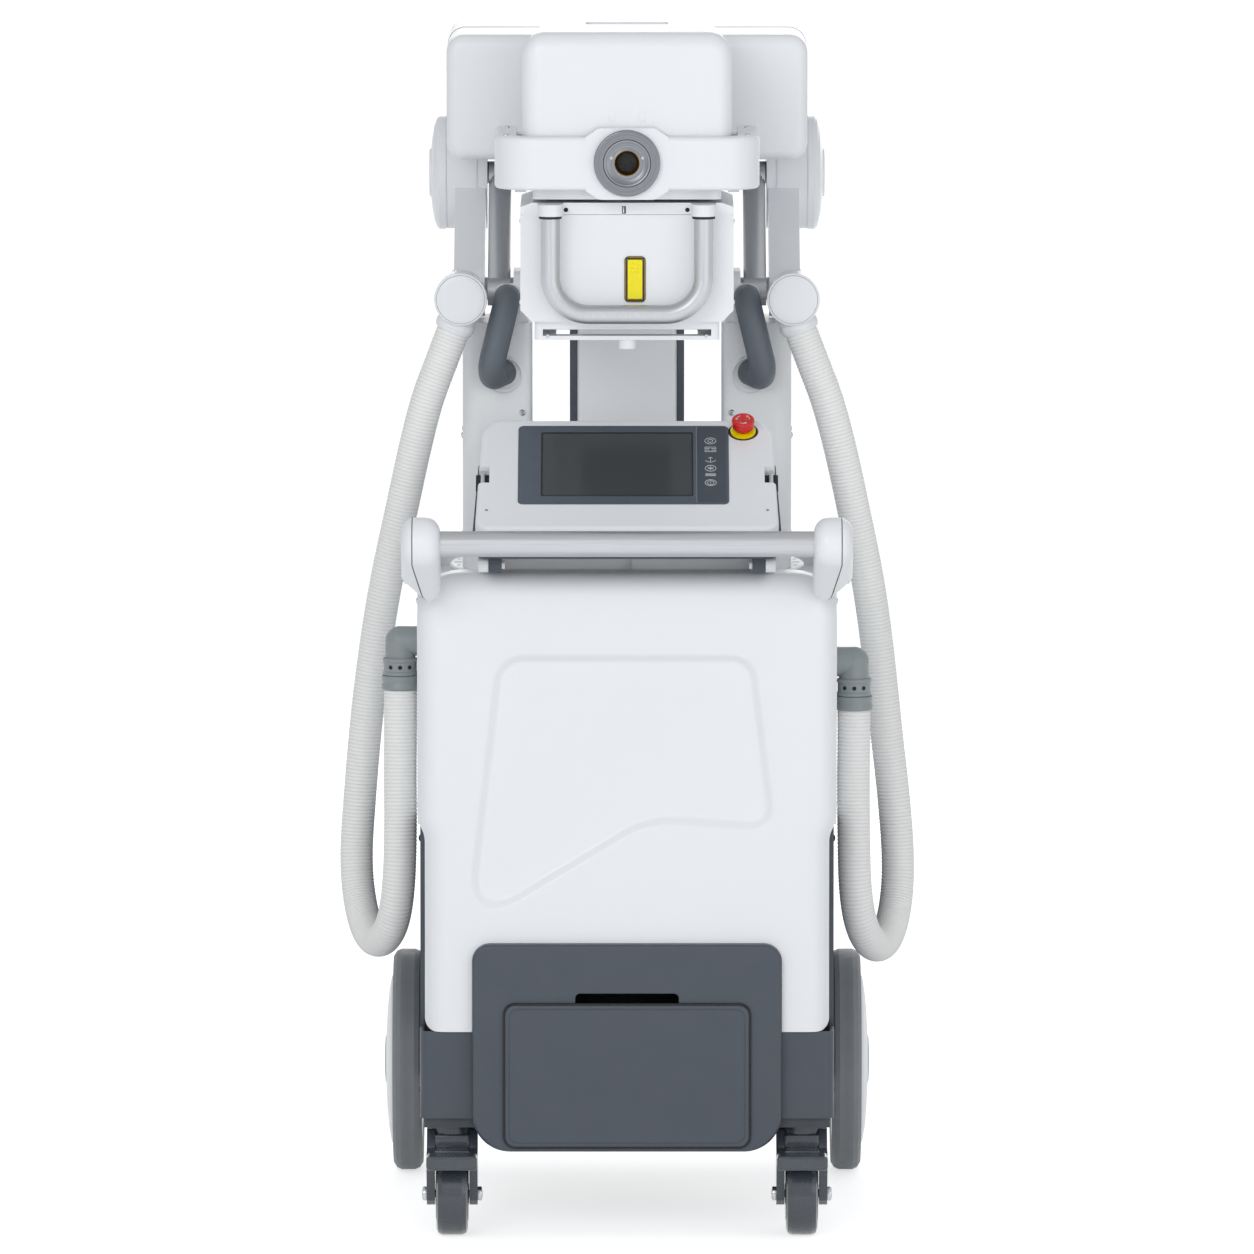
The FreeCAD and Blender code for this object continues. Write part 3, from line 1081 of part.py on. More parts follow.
def elbow_carrier():
    """Elbow shaft with the two levers that the tie rods keep level."""
    end = HUB_INNER_X + 29
    shape = rod(ELBOW_SHAFT_RADIUS, (-end, HUB_Y, HUB_Z), (end, HUB_Y, HUB_Z))
    tie_y = HUB_Y - TIE_OFFSET
    lever_end = LEVER_INNER_X + LEVER_WIDTH
    for side in (LEFT, RIGHT):
        lever = link((LEVER_INNER_X, lever_end), (HUB_Y, HUB_Z), LEVER_RADIUS + 3, (tie_y, HUB_Z), LEVER_RADIUS - 4)
        pin = rod(TIE_PIN_RADIUS - 0.4, (lever_end - 2, tie_y, HUB_Z), (TIE_X + TIE_RADIUS, tie_y, HUB_Z))
        shape = shape.fuse(mirrored(lever, side)).fuse(mirrored(pin, side))
    return shape


def forearm_housing():
    """Wide housing of the forearm: a thin shell, notched round the elbow housings, with the knuckles inside."""
    def shell_block(inset, extra):
        outline = rectangle((-BOX_HALF_WIDTH + inset, BOX_HALF_WIDTH - inset), (BOX_BOTTOM + inset, BOX_TOP - inset))
        return rounded_prism("XZ", (BOX_FRONT + inset - extra, BOX_REAR - inset), outline, BOX_ROUND - inset)

    outer = shell_block(0, 0)
    outer = soften(outer, BOX_EDGE, lambda edge: spans_level(edge, "y", BOX_FRONT) or spans_level(edge, "y", BOX_REAR))
    shape = outer.cut(shell_block(BOX_WALL, 0))
    mouth_rear = BOX_FRONT + MOUTH_DEPTH
    shape = shape.cut(block((-MOUTH_HALF_WIDTH, MOUTH_HALF_WIDTH), (BOX_FRONT - 1, mouth_rear), (BOX_BOTTOM - 1, MOUTH_TOP)))
    notch = HUB_RADIUS + HUB_CLEARANCE
    for side in (LEFT, RIGHT):
        notch_in = rod(notch, (HUB_INNER_X - 3, HUB_Y, HUB_Z), (BOX_HALF_WIDTH + 1, HUB_Y, HUB_Z))
        shape = shape.cut(mirrored(notch_in, side))
    for side in (LEFT, RIGHT):
        knuckle = link((KNUCKLE_X, KNUCKLE_X + KNUCKLE_WIDTH), (HUB_Y, HUB_Z), KNUCKLE_RADIUS,
                       (HUB_Y, BOX_BOTTOM + 45), KNUCKLE_RADIUS + 12)
        cheek = block((MOUTH_HALF_WIDTH, MOUTH_HALF_WIDTH + 12), (BOX_FRONT + 2, mouth_rear), (BOX_BOTTOM + 2, BOX_TOP - 2))
        shape = shape.fuse(mirrored(knuckle, side)).fuse(mirrored(cheek, side))
    for side in (LEFT, RIGHT):
        bore = rod(ELBOW_SHAFT_RADIUS + RUNNING, (KNUCKLE_X - 1, HUB_Y, HUB_Z), (KNUCKLE_X + KNUCKLE_WIDTH + 1, HUB_Y, HUB_Z))
        eye = rod(LEVEL_PIN_RADIUS + RUNNING, (MOUTH_HALF_WIDTH - 1, LEVEL_PIN_Y, LEVEL_PIN_Z),
                  (MOUTH_HALF_WIDTH + 13, LEVEL_PIN_Y, LEVEL_PIN_Z))
        shape = shape.cut(mirrored(bore, side)).cut(mirrored(eye, side))
    return shape


# Head

def head_carrier():
    """Tongue that turns in the forearm's mouth, with the flange that carries the head's roll bearing."""
    front = HEAD_REAR + SEAT_GAP
    tongue = link((-TONGUE_HALF_WIDTH, TONGUE_HALF_WIDTH), (LEVEL_PIN_Y, LEVEL_PIN_Z), TONGUE_RADIUS,
                  (front + 30, LEVEL_PIN_Z - 20), TONGUE_RADIUS - 9)
    flange = rounded_prism("XZ", (front, front + CARRIER_WALL),
                           rectangle((-CARRIER_HALF_WIDTH, CARRIER_HALF_WIDTH),
                                     (ROLL_Z - ROLL_SPIGOT_RADIUS - 10, LEVEL_PIN_Z + 20)), 14)
    pin_half = MOUTH_HALF_WIDTH + 12
    pin = rod(LEVEL_PIN_RADIUS, (-pin_half, LEVEL_PIN_Y, LEVEL_PIN_Z), (pin_half, LEVEL_PIN_Y, LEVEL_PIN_Z))
    shape = tongue.fuse(flange).fuse(pin)
    bore = rod(ROLL_SPIGOT_RADIUS + RUNNING, (0, front - 1, ROLL_Z), (0, front + ROLL_SPIGOT_LENGTH + 1, ROLL_Z))
    return shape.cut(bore)


def tube_head():
    """Tube housing: tapered towards the rear, with rounded upper edges, its base flange and the rear spigot."""
    def section(y, half, top):
        outline = rectangle((-half, half), (HEAD_BOTTOM, top))
        return rounded_face("XZ", y, outline, [0, 0, HEAD_ROUND, HEAD_ROUND]).OuterWire

    shape = Part.makeLoft([section(HEAD_FRONT, HEAD_HALF_WIDTH, HEAD_TOP),
                           section(HEAD_REAR, HEAD_REAR_HALF_WIDTH, HEAD_TOP)], True)
    for y in (HEAD_FRONT, HEAD_REAR):
        shape = soften(shape, HEAD_EDGE, lambda edge: spans_level(edge, "y", y) and edge.BoundBox.ZMax > HEAD_BOTTOM + 1)
    base = rounded_prism("XY", (BASE_BOTTOM, HEAD_BOTTOM + 1),
                         rectangle((-HEAD_REAR_HALF_WIDTH + 2, HEAD_REAR_HALF_WIDTH - 2), (HEAD_FRONT + 12, HEAD_REAR - 12)), 10)
    throat = rod(THROAT_RADIUS, (0, LIMITER_Y, LIMITER_TOP - 4.5), (0, LIMITER_Y, BASE_BOTTOM + 1))
    spigot = rod(ROLL_SPIGOT_RADIUS, (0, HEAD_REAR - 1, ROLL_Z), (0, HEAD_REAR + ROLL_SPIGOT_LENGTH, ROLL_Z))
    recess = rounded_prism("XY", (HEAD_TOP - 2, HEAD_TOP + 1), rectangle((-50, 50), (HEAD_REAR - 90, HEAD_REAR - 30)), 8)
    shape = shape.fuse(base).fuse(throat).fuse(spigot).cut(recess)
    socket = rod(BUSH_RADIUS, (0, HEAD_FRONT - 1, ROLL_Z), (0, HEAD_FRONT + BORE_DEPTH - 20, ROLL_Z))
    return shape.cut(socket)


def yoke_band():
    """Band round the front and sides of the head, swollen round the end ring."""
    def u_outline(half, front, rear, radius):
        return rectangle((-half, half), (front, rear)), [radius, radius, 0, 0]

    span = (BAND_BOTTOM, BAND_TOP)
    corners, radii = u_outline(BAND_HALF_WIDTH, BAND_FRONT, BAND_REAR, BAND_ROUND)
    outer = rounded_prism("XY", span, corners, radii)
    outer = soften(outer, 5, lambda edge: (spans_level(edge, "z", BAND_BOTTOM) or spans_level(edge, "z", BAND_TOP))
                   and not spans_level(edge, "y", BAND_REAR))
    swell = rounded_prism("XZ", (BAND_FRONT, BAND_FRONT + BAND_THICKNESS),
                          [(-BAND_SWELL_HALF - 16, BAND_BOTTOM), (-BAND_SWELL_HALF, BAND_BOTTOM - BAND_SWELL),
                           (BAND_SWELL_HALF, BAND_BOTTOM - BAND_SWELL), (BAND_SWELL_HALF + 16, BAND_BOTTOM),
                           (BAND_SWELL_HALF + 16, BAND_TOP), (BAND_SWELL_HALF, BAND_TOP + BAND_SWELL),
                           (-BAND_SWELL_HALF, BAND_TOP + BAND_SWELL), (-BAND_SWELL_HALF - 16, BAND_TOP)],
                          [0, 10, 10, 0, 0, 10, 10, 0])
    shape = outer.fuse(swell)
    inner_front = BAND_FRONT + BAND_THICKNESS
    corners, radii = u_outline(BAND_HALF_WIDTH - BAND_THICKNESS, inner_front, BAND_REAR + 1, BAND_ROUND - BAND_THICKNESS)
    shape = shape.cut(rounded_prism("XY", (BAND_BOTTOM - 1, BAND_TOP + 1), corners, radii))
    for side in (LEFT, RIGHT):
        taper = (HEAD_HALF_WIDTH - HEAD_REAR_HALF_WIDTH) / (HEAD_REAR - HEAD_FRONT)
        pad_rear = BAND_REAR
        pad_front = BAND_REAR - BAND_PAD
        head_x = [HEAD_HALF_WIDTH - taper * (y - HEAD_FRONT) + SEAT_GAP for y in (pad_front, pad_rear)]
        pad = rounded_prism("XY", (BAND_BOTTOM + 8, BAND_TOP - 8),
                            [(head_x[0], pad_front), (BAND_HALF_WIDTH - BAND_THICKNESS + 1, pad_front),
                             (BAND_HALF_WIDTH - BAND_THICKNESS + 1, pad_rear), (head_x[1], pad_rear)], 0)
        shape = shape.fuse(mirrored(pad, side))
    return shape.cut(rod(BUSH_RADIUS + SEAT_GAP, (0, BAND_FRONT - 1, ROLL_Z), (0, inner_front + 1, ROLL_Z)))


def trunnion_ring():
    """Turned steel ring on the band's front."""
    front = BAND_FRONT - RING_PROUD
    ring = rod(RING_RADIUS, (0, front, ROLL_Z), (0, BAND_FRONT, ROLL_Z))
    ring = ring.makeFillet(2, [edge for edge in ring.Edges if spans_level(edge, "y", front)])
    return ring.cut(rod(RING_INNER, (0, front - 1, ROLL_Z), (0, BAND_FRONT + 1, ROLL_Z)))


def trunnion_bush():
    """Dished bush with the open bore, seated in the head's front."""
    front = BAND_FRONT - RING_PROUD + 3
    rear = HEAD_FRONT + BORE_DEPTH - 20
    bush = rod(BUSH_RADIUS, (0, front, ROLL_Z), (0, rear, ROLL_Z))
    bush = bush.cut(rod(BORE_RADIUS, (0, front - 1, ROLL_Z), (0, front + BORE_DEPTH, ROLL_Z)))
    dish = Part.makeCone(BUSH_RADIUS - 3, BORE_RADIUS, 5, point(0, front, ROLL_Z), Y_AXIS)
    return bush.cut(dish)


# Beam limiter

def limiter_body():
    """Beam limiter: top flange, box with chamfered corners, raised front panel, handle collars and throat."""
    rear = LIMITER_Y + LIMITER_HALF_DEPTH
    front = LIMITER_Y - LIMITER_HALF_DEPTH
    half = LIMITER_HALF_WIDTH
    low = LIMITER_BOTTOM
    step = FLANGE_CHAMFER
    outline = [(-half + step, low), (half - step, low), (half, low + step), (half, LIMITER_TOP - FLANGE_HEIGHT),
               (-half, LIMITER_TOP - FLANGE_HEIGHT), (-half, low + step)]
    body = rounded_prism("XZ", (front, rear), outline, [2, 2, 2, 4, 4, 2])
    flange_low = LIMITER_TOP - FLANGE_HEIGHT
    flange = [(-half, flange_low), (half, flange_low), (half, LIMITER_TOP - 5), (half - step, LIMITER_TOP),
              (-half + step, LIMITER_TOP), (-half, LIMITER_TOP - 5)]
    body = body.fuse(rounded_prism("XZ", (front - FLANGE_PROUD, rear + FLANGE_PROUD), flange, 0))
    panel = rectangle((PANEL_LEFT, PANEL_RIGHT), (PANEL_BOTTOM, PANEL_TOP))
    body = body.fuse(rounded_prism("XZ", (front - PANEL_PROUD, front + 1), panel, [PANEL_ROUND, PANEL_ROUND, 4, 4]))
    stand = front - U_STAND_OFF
    for side in (LEFT, RIGHT):
        x = side * U_HALF_WIDTH
        lug = block((x - COLLAR_RADIUS, x + COLLAR_RADIUS), (stand, front), (LIMITER_TOP - COLLAR_HEIGHT, LIMITER_TOP))
        collar = rod(COLLAR_RADIUS, (x, stand, LIMITER_TOP - COLLAR_HEIGHT), (x, stand, LIMITER_TOP))
        body = body.fuse(lug).fuse(collar)
    throat = THROAT_RADIUS + RUNNING
    body = body.cut(rod(throat, (0, LIMITER_Y, LIMITER_TOP - 5), (0, LIMITER_Y, LIMITER_TOP + 1)))
    body = body.cut(block((-BEAM_HALF, BEAM_HALF), (LIMITER_Y - BEAM_HALF, LIMITER_Y + BEAM_HALF), (low - 1, low + 40)))
    well_x = (KEY_X - KEY_HALF_WIDTH - KEY_GAP, KEY_X + KEY_HALF_WIDTH + KEY_GAP)
    well_z = (KEY_Z - KEY_HALF_HEIGHT - KEY_GAP, KEY_Z + KEY_HALF_HEIGHT + KEY_GAP)
    well = rounded_prism("XZ", (front - PANEL_PROUD - 1, front + 6), rectangle(well_x, well_z), 2)
    return body.cut(well)


def accessory_rail():
    """Frame under the limiter with a slot on each side for filters and a square window for the beam."""
    front = LIMITER_Y - RAIL_HALF_DEPTH
    rear = LIMITER_Y + RAIL_HALF_DEPTH
    top = LIMITER_BOTTOM
    frame = rounded_prism("XY", (RAIL_BOTTOM, top), rectangle((-RAIL_HALF_WIDTH, RAIL_HALF_WIDTH), (front, rear)), 6)
    inner = RAIL_HALF_WIDTH - RAIL_WALL
    slot = block((-inner, inner), (front - 1, rear - RAIL_WALL), (RAIL_BOTTOM + 5, RAIL_BOTTOM + 5 + RAIL_SLOT))
    window = RAIL_HALF_WIDTH - RAIL_WALL - RAIL_LIP
    depth = RAIL_HALF_DEPTH - RAIL_WALL - RAIL_LIP
    frame = frame.cut(slot)
    frame = frame.cut(block((-window, window), (LIMITER_Y - depth, LIMITER_Y + depth), (RAIL_BOTTOM - 1, top - 4)))
    frame = frame.cut(block((-BEAM_HALF, BEAM_HALF), (LIMITER_Y - BEAM_HALF, LIMITER_Y + BEAM_HALF), (RAIL_BOTTOM - 1, top + 1)))
    knob_y = front + 13
    knob = rod(KNOB_RADIUS, (0, knob_y, RAIL_BOTTOM - KNOB_HEIGHT), (0, knob_y, RAIL_BOTTOM + 1))
    knob = knob.makeFillet(2, [edge for edge in knob.Edges if spans_level(edge, "z", RAIL_BOTTOM - KNOB_HEIGHT)])
    return frame.fuse(knob)


def u_handle():
    """U-shaped steel handle whose legs stand in the limiter's collars."""
    y = LIMITER_Y - LIMITER_HALF_DEPTH - U_STAND_OFF
    top = LIMITER_TOP - COLLAR_HEIGHT
    points = [(-U_HALF_WIDTH, y, top), (-U_HALF_WIDTH, y, U_BOTTOM), (U_HALF_WIDTH, y, U_BOTTOM), (U_HALF_WIDTH, y, top)]
    tube, length = bent_tube(points, U_TUBE_RADIUS, [U_BEND, U_BEND])
    return tube


def lamp_button():
    """Tall key that switches the field lamp; it slides into the limiter's front."""
    front = LIMITER_Y - LIMITER_HALF_DEPTH - PANEL_PROUD - KEY_PROUD
    outline = rectangle((KEY_X - KEY_HALF_WIDTH, KEY_X + KEY_HALF_WIDTH), (KEY_Z - KEY_HALF_HEIGHT, KEY_Z + KEY_HALF_HEIGHT))
    rear = LIMITER_Y - LIMITER_HALF_DEPTH + 6 - KEY_TRAVEL - SEAT_GAP
    key = rounded_prism("XZ", (front, rear), outline, 2)
    return soften(key, 1, lambda edge: spans_level(edge, "y", front))


# Hoses and their fittings

def hose_fitting(side):
    """Elbow out of the body's side, clamp ring and cuff, one above the other."""
    end = LEFT_HOSE[-1] if side == LEFT else RIGHT_HOSE[-1]
    x = abs(end[0])
    y = end[1]
    cuff_low = end[2] + SEAT_GAP
    clamp_low = cuff_low + CUFF_HEIGHT
    elbow_low = clamp_low + CLAMP_HEIGHT
    bend_z = elbow_low + ELBOW_HEIGHT
    shape = rod(CUFF_RADIUS, (x, y, cuff_low), (x, y, clamp_low))
    shape = shape.fuse(rod(CLAMP_RADIUS, (x, y, clamp_low), (x, y, elbow_low)))
    shape = shape.fuse(rod(ELBOW_RADIUS, (x, y, elbow_low - 1), (x, y, bend_z)))
    shape = shape.fuse(Part.makeSphere(ELBOW_RADIUS, point(x, y, bend_z)))
    shape = shape.fuse(rod(ELBOW_RADIUS, (BODY_HALF_WIDTH, y, bend_z), (x, y, bend_z)))
    shape = shape.cut(block((0, BODY_HALF_WIDTH), (y - 40, y + 40), (cuff_low - 10, bend_z + 40)))
    return mirrored(shape, side)


def hose(side):
    route = LEFT_HOSE if side == LEFT else RIGHT_HOSE
    bends = hose_bends(route)
    tube, length = bent_tube(route, HOSE_RADIUS, bends)
    expected = math.pi * HOSE_RADIUS ** 2 * length
    radii = " ".join(str(round(radius)) for radius in bends)
    print(NAMES[side], "hose: length", round(length), "volume share", round(tube.Volume / expected, 4), "radii", radii)
    return tube


def main():
    os.makedirs("parts", exist_ok=True)
    single = [chassis_frame, front_cover, rear_cover, top_cover, drawer_housing, power_unit, console_shell,
              console_back, console_bezel, screen_glass, estop_base, estop_button, console_bracket, push_bar,
              drawer_front, drawer_tray, turntable_plate, centre_column, lower_arm, elbow_carrier,
              forearm_housing, head_carrier, tube_head, yoke_band, trunnion_ring, trunnion_bush, limiter_body,
              accessory_rail, u_handle, lamp_button]
    paired = [side_cover, skirt, pod, wheel_tyre, wheel_hub, caster_fork, caster_wheel, caster_pedal, tower, grip,
              hose_drum, hub_cap, tie_rod, hose_fitting, hose]
    pieces = {make.__name__: make() for make in single}
    for make in paired:
        for side in (LEFT, RIGHT):
            pieces[make.__name__ + "_" + NAMES[side]] = make(side)
    for name, shape in pieces.items():
        if not shape.isValid() or len(shape.Solids) != 1:
            print("look at", name, "valid", shape.isValid(), "solids", len(shape.Solids))
        shape.translate(point(0, ORIGIN_SHIFT, 0))
        shape.exportStep("parts/" + name + ".step")
    print(len(pieces), "pieces")


if __name__ == "__main__":
    main()
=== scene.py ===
"""Looks of a mobile x-ray machine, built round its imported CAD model. Metres."""
import math

import bmesh
import bpy
from bpy.props import FloatProperty, FloatVectorProperty, IntProperty, PointerProperty
from mathutils import Matrix, Vector


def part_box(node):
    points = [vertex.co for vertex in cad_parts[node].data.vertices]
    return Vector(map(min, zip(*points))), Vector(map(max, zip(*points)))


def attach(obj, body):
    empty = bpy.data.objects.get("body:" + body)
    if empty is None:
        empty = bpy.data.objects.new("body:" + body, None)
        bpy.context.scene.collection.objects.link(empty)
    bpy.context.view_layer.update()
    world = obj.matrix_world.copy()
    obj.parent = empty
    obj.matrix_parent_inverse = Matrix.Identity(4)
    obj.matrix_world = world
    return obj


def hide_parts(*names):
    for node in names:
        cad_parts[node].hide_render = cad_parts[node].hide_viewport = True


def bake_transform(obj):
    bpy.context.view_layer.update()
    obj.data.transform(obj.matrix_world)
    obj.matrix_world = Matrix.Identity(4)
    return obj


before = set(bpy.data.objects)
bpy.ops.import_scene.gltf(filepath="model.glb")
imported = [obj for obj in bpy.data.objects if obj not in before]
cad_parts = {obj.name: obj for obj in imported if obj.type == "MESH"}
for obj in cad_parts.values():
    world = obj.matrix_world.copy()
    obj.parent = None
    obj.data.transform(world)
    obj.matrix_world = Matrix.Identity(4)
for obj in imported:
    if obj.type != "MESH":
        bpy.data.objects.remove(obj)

bl_info = {
    "name": "Mobile x-ray machine",
    "version": (1, 0, 0),
    "blender": (4, 5, 0),
    "location": "3D View > Sidebar > X-ray",
    "description": "Builds the finishes and fine parts of a mobile x-ray machine round its CAD model",
    "category": "Add Mesh",
}

SIDES = {"left": -1, "right": 1}
# The CAD model's origin is under the middle of its footprint, this far from the middle of its drawing
ORIGIN_SHIFT = 6.5

# Places that several pieces share, in the drawing's millimetres
BAND_FRONT = -338.0
ROLL_Z = 1314.0
SHOULDER_Z = 1127.0
COLUMN_Y = 100.0
TOWER_FRONT = 18.0
BAR_Y = -400.0
BAR_Z = 859.0
REAR_FACE = 324.6
REAR_WHEEL_X = 246.0
REAR_AXLE_Y = 280.0
REAR_AXLE_Z = 139.0
CASTER_X = 213.0
CASTER_AXLE_Y = -270.0
CASTER_AXLE_Z = 50.0


def at(x, y, z):
    """A point of the machine's drawing, in millimetres, as a place in the scene, in metres."""
    return Vector((x, y + ORIGIN_SHIFT, z)) / 1000


def mm(value):
    return value / 1000


def hex_colour(code):
    """An sRGB hex colour as the linear red, green and blue that Blender works in."""
    parts = [int(code[i : i + 2], 16) / 255 for i in (1, 3, 5)]
    return tuple(c / 12.92 if c <= 0.04045 else ((c + 0.055) / 1.055) ** 2.4 for c in parts)


def colour_property(name, code, description):
    return FloatVectorProperty(
        name=name, description=description, subtype="COLOR", size=3, min=0, max=1, default=hex_colour(code)
    )


def length_property(name, millimetres, description):
    return FloatProperty(name=name, description=description, unit="LENGTH", min=0, default=millimetres / 1000)


class XrayColours(bpy.types.PropertyGroup):
    """The colours that a user would change."""

    cover: colour_property("Covers", "#ECEEF1", "Cool white of the moulded covers")
    column: colour_property("Column", "#EDEFF1", "Light grey powder coat of the column and its towers")
    slate: colour_property("Slate panels", "#434A54", "Slate grey of the lower panels, drawer and bezel")
    hose: colour_property("Hoses", "#F4F4F3", "Warm light grey of the ribbed hoses")
    fitting: colour_property("Hose fittings", "#8C9496", "Mid grey of the hose elbows")
    display: colour_property("Display", "#474A4C", "Dark grey of the switched-off display")
    tyre: colour_property("Tyres", "#85898D", "Grey of the solid rubber tyres")
    caster: colour_property("Casters", "#40464E", "Dark grey of the nylon casters")
    stop: colour_property("Stop button", "#D3201F", "Red of the emergency stop")
    key: colour_property("Lamp key", "#F4E400", "Yellow of the lamp key and of the stop's base")


class XraySizes(bpy.types.PropertyGroup):
    """The sizes that a user would change."""

    rib_pitch: length_property("Rib pitch", 4.6, "From one rib of the hoses to the next")
    rib_depth: length_property("Rib depth", 0.9, "How far the groove between two ribs goes in")
    screw_radius: length_property("Screw radius", 3.2, "Radius of the cover screws' heads")
    icon_line: length_property("Icon line", 0.35, "Half the width of the lines on the keypad")
    tube_sides: IntProperty(
        name="Tube sides", description="Flat sides round a hose", min=12, max=64, default=36
    )


def colours():
    return bpy.context.scene.xray_colours


def sizes():
    return bpy.context.scene.xray_sizes


# Finding and choosing

def deselect():
    if bpy.context.mode != "OBJECT":
        bpy.ops.object.mode_set(mode="OBJECT")
    bpy.ops.object.select_all(action="DESELECT")


def activate(piece):
    deselect()
    piece.select_set(True)
    bpy.context.view_layer.objects.active = piece


def edit(piece, kind="FACE", choose=None):
    """Edit mode on one piece, with only the chosen points, edges or faces selected."""
    activate(piece)
    bpy.ops.object.mode_set(mode="EDIT")
    bpy.ops.mesh.select_mode(type=kind)
    bpy.ops.mesh.select_all(action="DESELECT" if choose else "SELECT")
    if choose:
        mesh = bmesh.from_edit_mesh(piece.data)
        items = {"VERT": mesh.verts, "EDGE": mesh.edges, "FACE": mesh.faces}[kind]
        for item in items:
            if choose(item):
                item.select_set(True)
        bmesh.update_edit_mesh(piece.data)


def leave_edit():
    bpy.ops.object.mode_set(mode="OBJECT")


def border_towards(direction):
    """A test for the border edges of the faces that look along a direction."""
    direction = Vector(direction)

    def test(edge):
        looking = [face for face in edge.link_faces if face.normal.dot(direction) >= 0.99]
        return len(looking) == 1

    return test


def upright(edge):
    """A test for edges that run straight up."""
    run = edge.verts[1].co - edge.verts[0].co
    return run.length > 1e-6 and abs(run.normalized().z) > 0.999


# Making pieces

def settle(piece, name=None):
    """Puts the piece's place into its mesh, so its object sits at the origin."""
    activate(piece)
    bpy.ops.object.transform_apply(location=True, rotation=True, scale=True)
    if name:
        piece.name = name
        piece.data.name = name
    return piece


def smooth(piece, angle=35):
    activate(piece)
    bpy.ops.object.shade_smooth_by_angle(angle=math.radians(angle))
    return piece


def outward(piece, doubles=1e-6):
    """Merges doubled points and turns every face outwards."""
    edit(piece)
    bpy.ops.mesh.remove_doubles(threshold=doubles)
    bpy.ops.mesh.normals_make_consistent(inside=False)
    leave_edit()
    return piece


def finish_piece(piece, body, finish, angle=35):
    """Smooth shading, the finish of the record's slot, and the CAD body that carries the piece."""
    smooth(piece, angle)
    piece.data.materials.clear()
    piece.data.materials.append(finishes()[finish])
    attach(piece, body)
    return piece


def cuboid(name, centre, size):
    """A box round a place in the scene, in metres."""
    deselect()
    bpy.ops.mesh.primitive_cube_add(size=1, location=centre)
    piece = bpy.context.object
    piece.scale = size
    return settle(piece, name)


def box_piece(name, low, high):
    """A box between two corners of the drawing."""
    low = at(*low)
    high = at(*high)
    return cuboid(name, (low + high) / 2, high - low)


def drawn_line(name, places):
    """Points joined by edges, drawn by extruding one point from place to place."""
    deselect()
    bpy.ops.mesh.primitive_plane_add(size=0.01, location=(0, 0, 0))
    piece = bpy.context.object
    edit(piece, "VERT")
    bpy.ops.mesh.merge(type="CENTER")
    bpy.ops.transform.translate(value=places[0])
    for here, there in zip(places, places[1:]):
        bpy.ops.mesh.extrude_region_move(TRANSFORM_OT_translate={"value": there - here})
    leave_edit()
    return settle(piece, name)


def plate_piece(name, places, depth, reach=0.0, segments=8, reaches=None):
    """A flat outline with rounded corners, thickened along a vector."""
    piece = drawn_line(name, places)
    edit(piece, "VERT")
    bpy.ops.mesh.edge_face_add()
    leave_edit()
    for place, corner in zip(places, reaches or [reach] * len(places)):
        if corner:
            edit(piece, "VERT", lambda v, p=place: (v.co - p).length < 1e-5)
            bpy.ops.mesh.bevel(offset=corner, segments=segments, affect="VERTICES", offset_type="OFFSET")
            leave_edit()
    edit(piece, "FACE")
    bpy.ops.mesh.extrude_region_move(TRANSFORM_OT_translate={"value": depth})
    leave_edit()
    return outward(piece)


def soften_edges(piece, width, segments=3, choose=None):
    edit(piece, "EDGE", choose)
    bpy.ops.mesh.bevel(offset=width, segments=segments, affect="EDGES", clamp_overlap=True)
    leave_edit()
    return piece


def turned_piece(name, centre, axis, profile, steps):
    """A turned piece: its profile's points are a distance along the axis and a radius."""
    axis = Vector(axis).normalized()
    side = Vector((0, 0, 1)) if abs(axis.z) < 0.5 else Vector((1, 0, 0))
    side = (side - axis * side.dot(axis)).normalized()
    places = [centre + axis * mm(along) + side * mm(radius) for along, radius in profile]
    piece = drawn_line(name, places)
    edit(piece, "EDGE")
    bpy.ops.mesh.spin(steps=steps, angle=2 * math.pi, center=centre, axis=axis)
    leave_edit()
    return outward(piece)


def turned_part(name, centre, axis, profile, steps, body, finish, angle=35):
    """A turned piece with its finish, riding on a body."""
    return finish_piece(turned_piece(name, centre, axis, profile, steps), body, finish, angle)


def soft_box(name, low, high, width, segments):
    """A box between two corners of the drawing, with all its edges rounded."""
    return soften_edges(box_piece(name, low, high), width, segments)


def wire_piece(name, places, radius, sides=10, closed=False):
    """A round wire that follows a line of places."""
    if closed:
        places = list(places) + [places[0]]
    piece = drawn_line(name, list(places))
    activate(piece)
    bpy.ops.object.convert(target="CURVE")
    piece = bpy.context.object
    piece.data.bevel_depth = radius
    piece.data.bevel_resolution = max(1, sides // 4)
    piece.data.use_fill_caps = True
    bpy.ops.object.convert(target="MESH")
    piece = bpy.context.object
    piece.name = name
    return outward(piece, 1e-7)


def joined(name, pieces):
    """Several pieces made one object."""
    deselect()
    for piece in pieces:
        piece.select_set(True)
    bpy.context.view_layer.objects.active = pieces[0]
    bpy.ops.object.join()
    piece = bpy.context.object
    piece.name = name
    piece.data.name = name
    return piece


def copy_along(source, name, place, direction):
    """A copy of a piece modelled at the origin, facing up: put at a place, facing a direction."""
    mesh = source.data.copy()
    turn = Vector(direction).normalized().to_track_quat("Z", "Y").to_matrix().to_4x4()
    mesh.transform(Matrix.Translation(place) @ turn)
    piece = bpy.data.objects.new(name, mesh)
    bpy.context.scene.collection.objects.link(piece)
    return piece


def discard(*pieces):
    for piece in pieces:
        bpy.data.objects.remove(piece)


# Nodes of a material

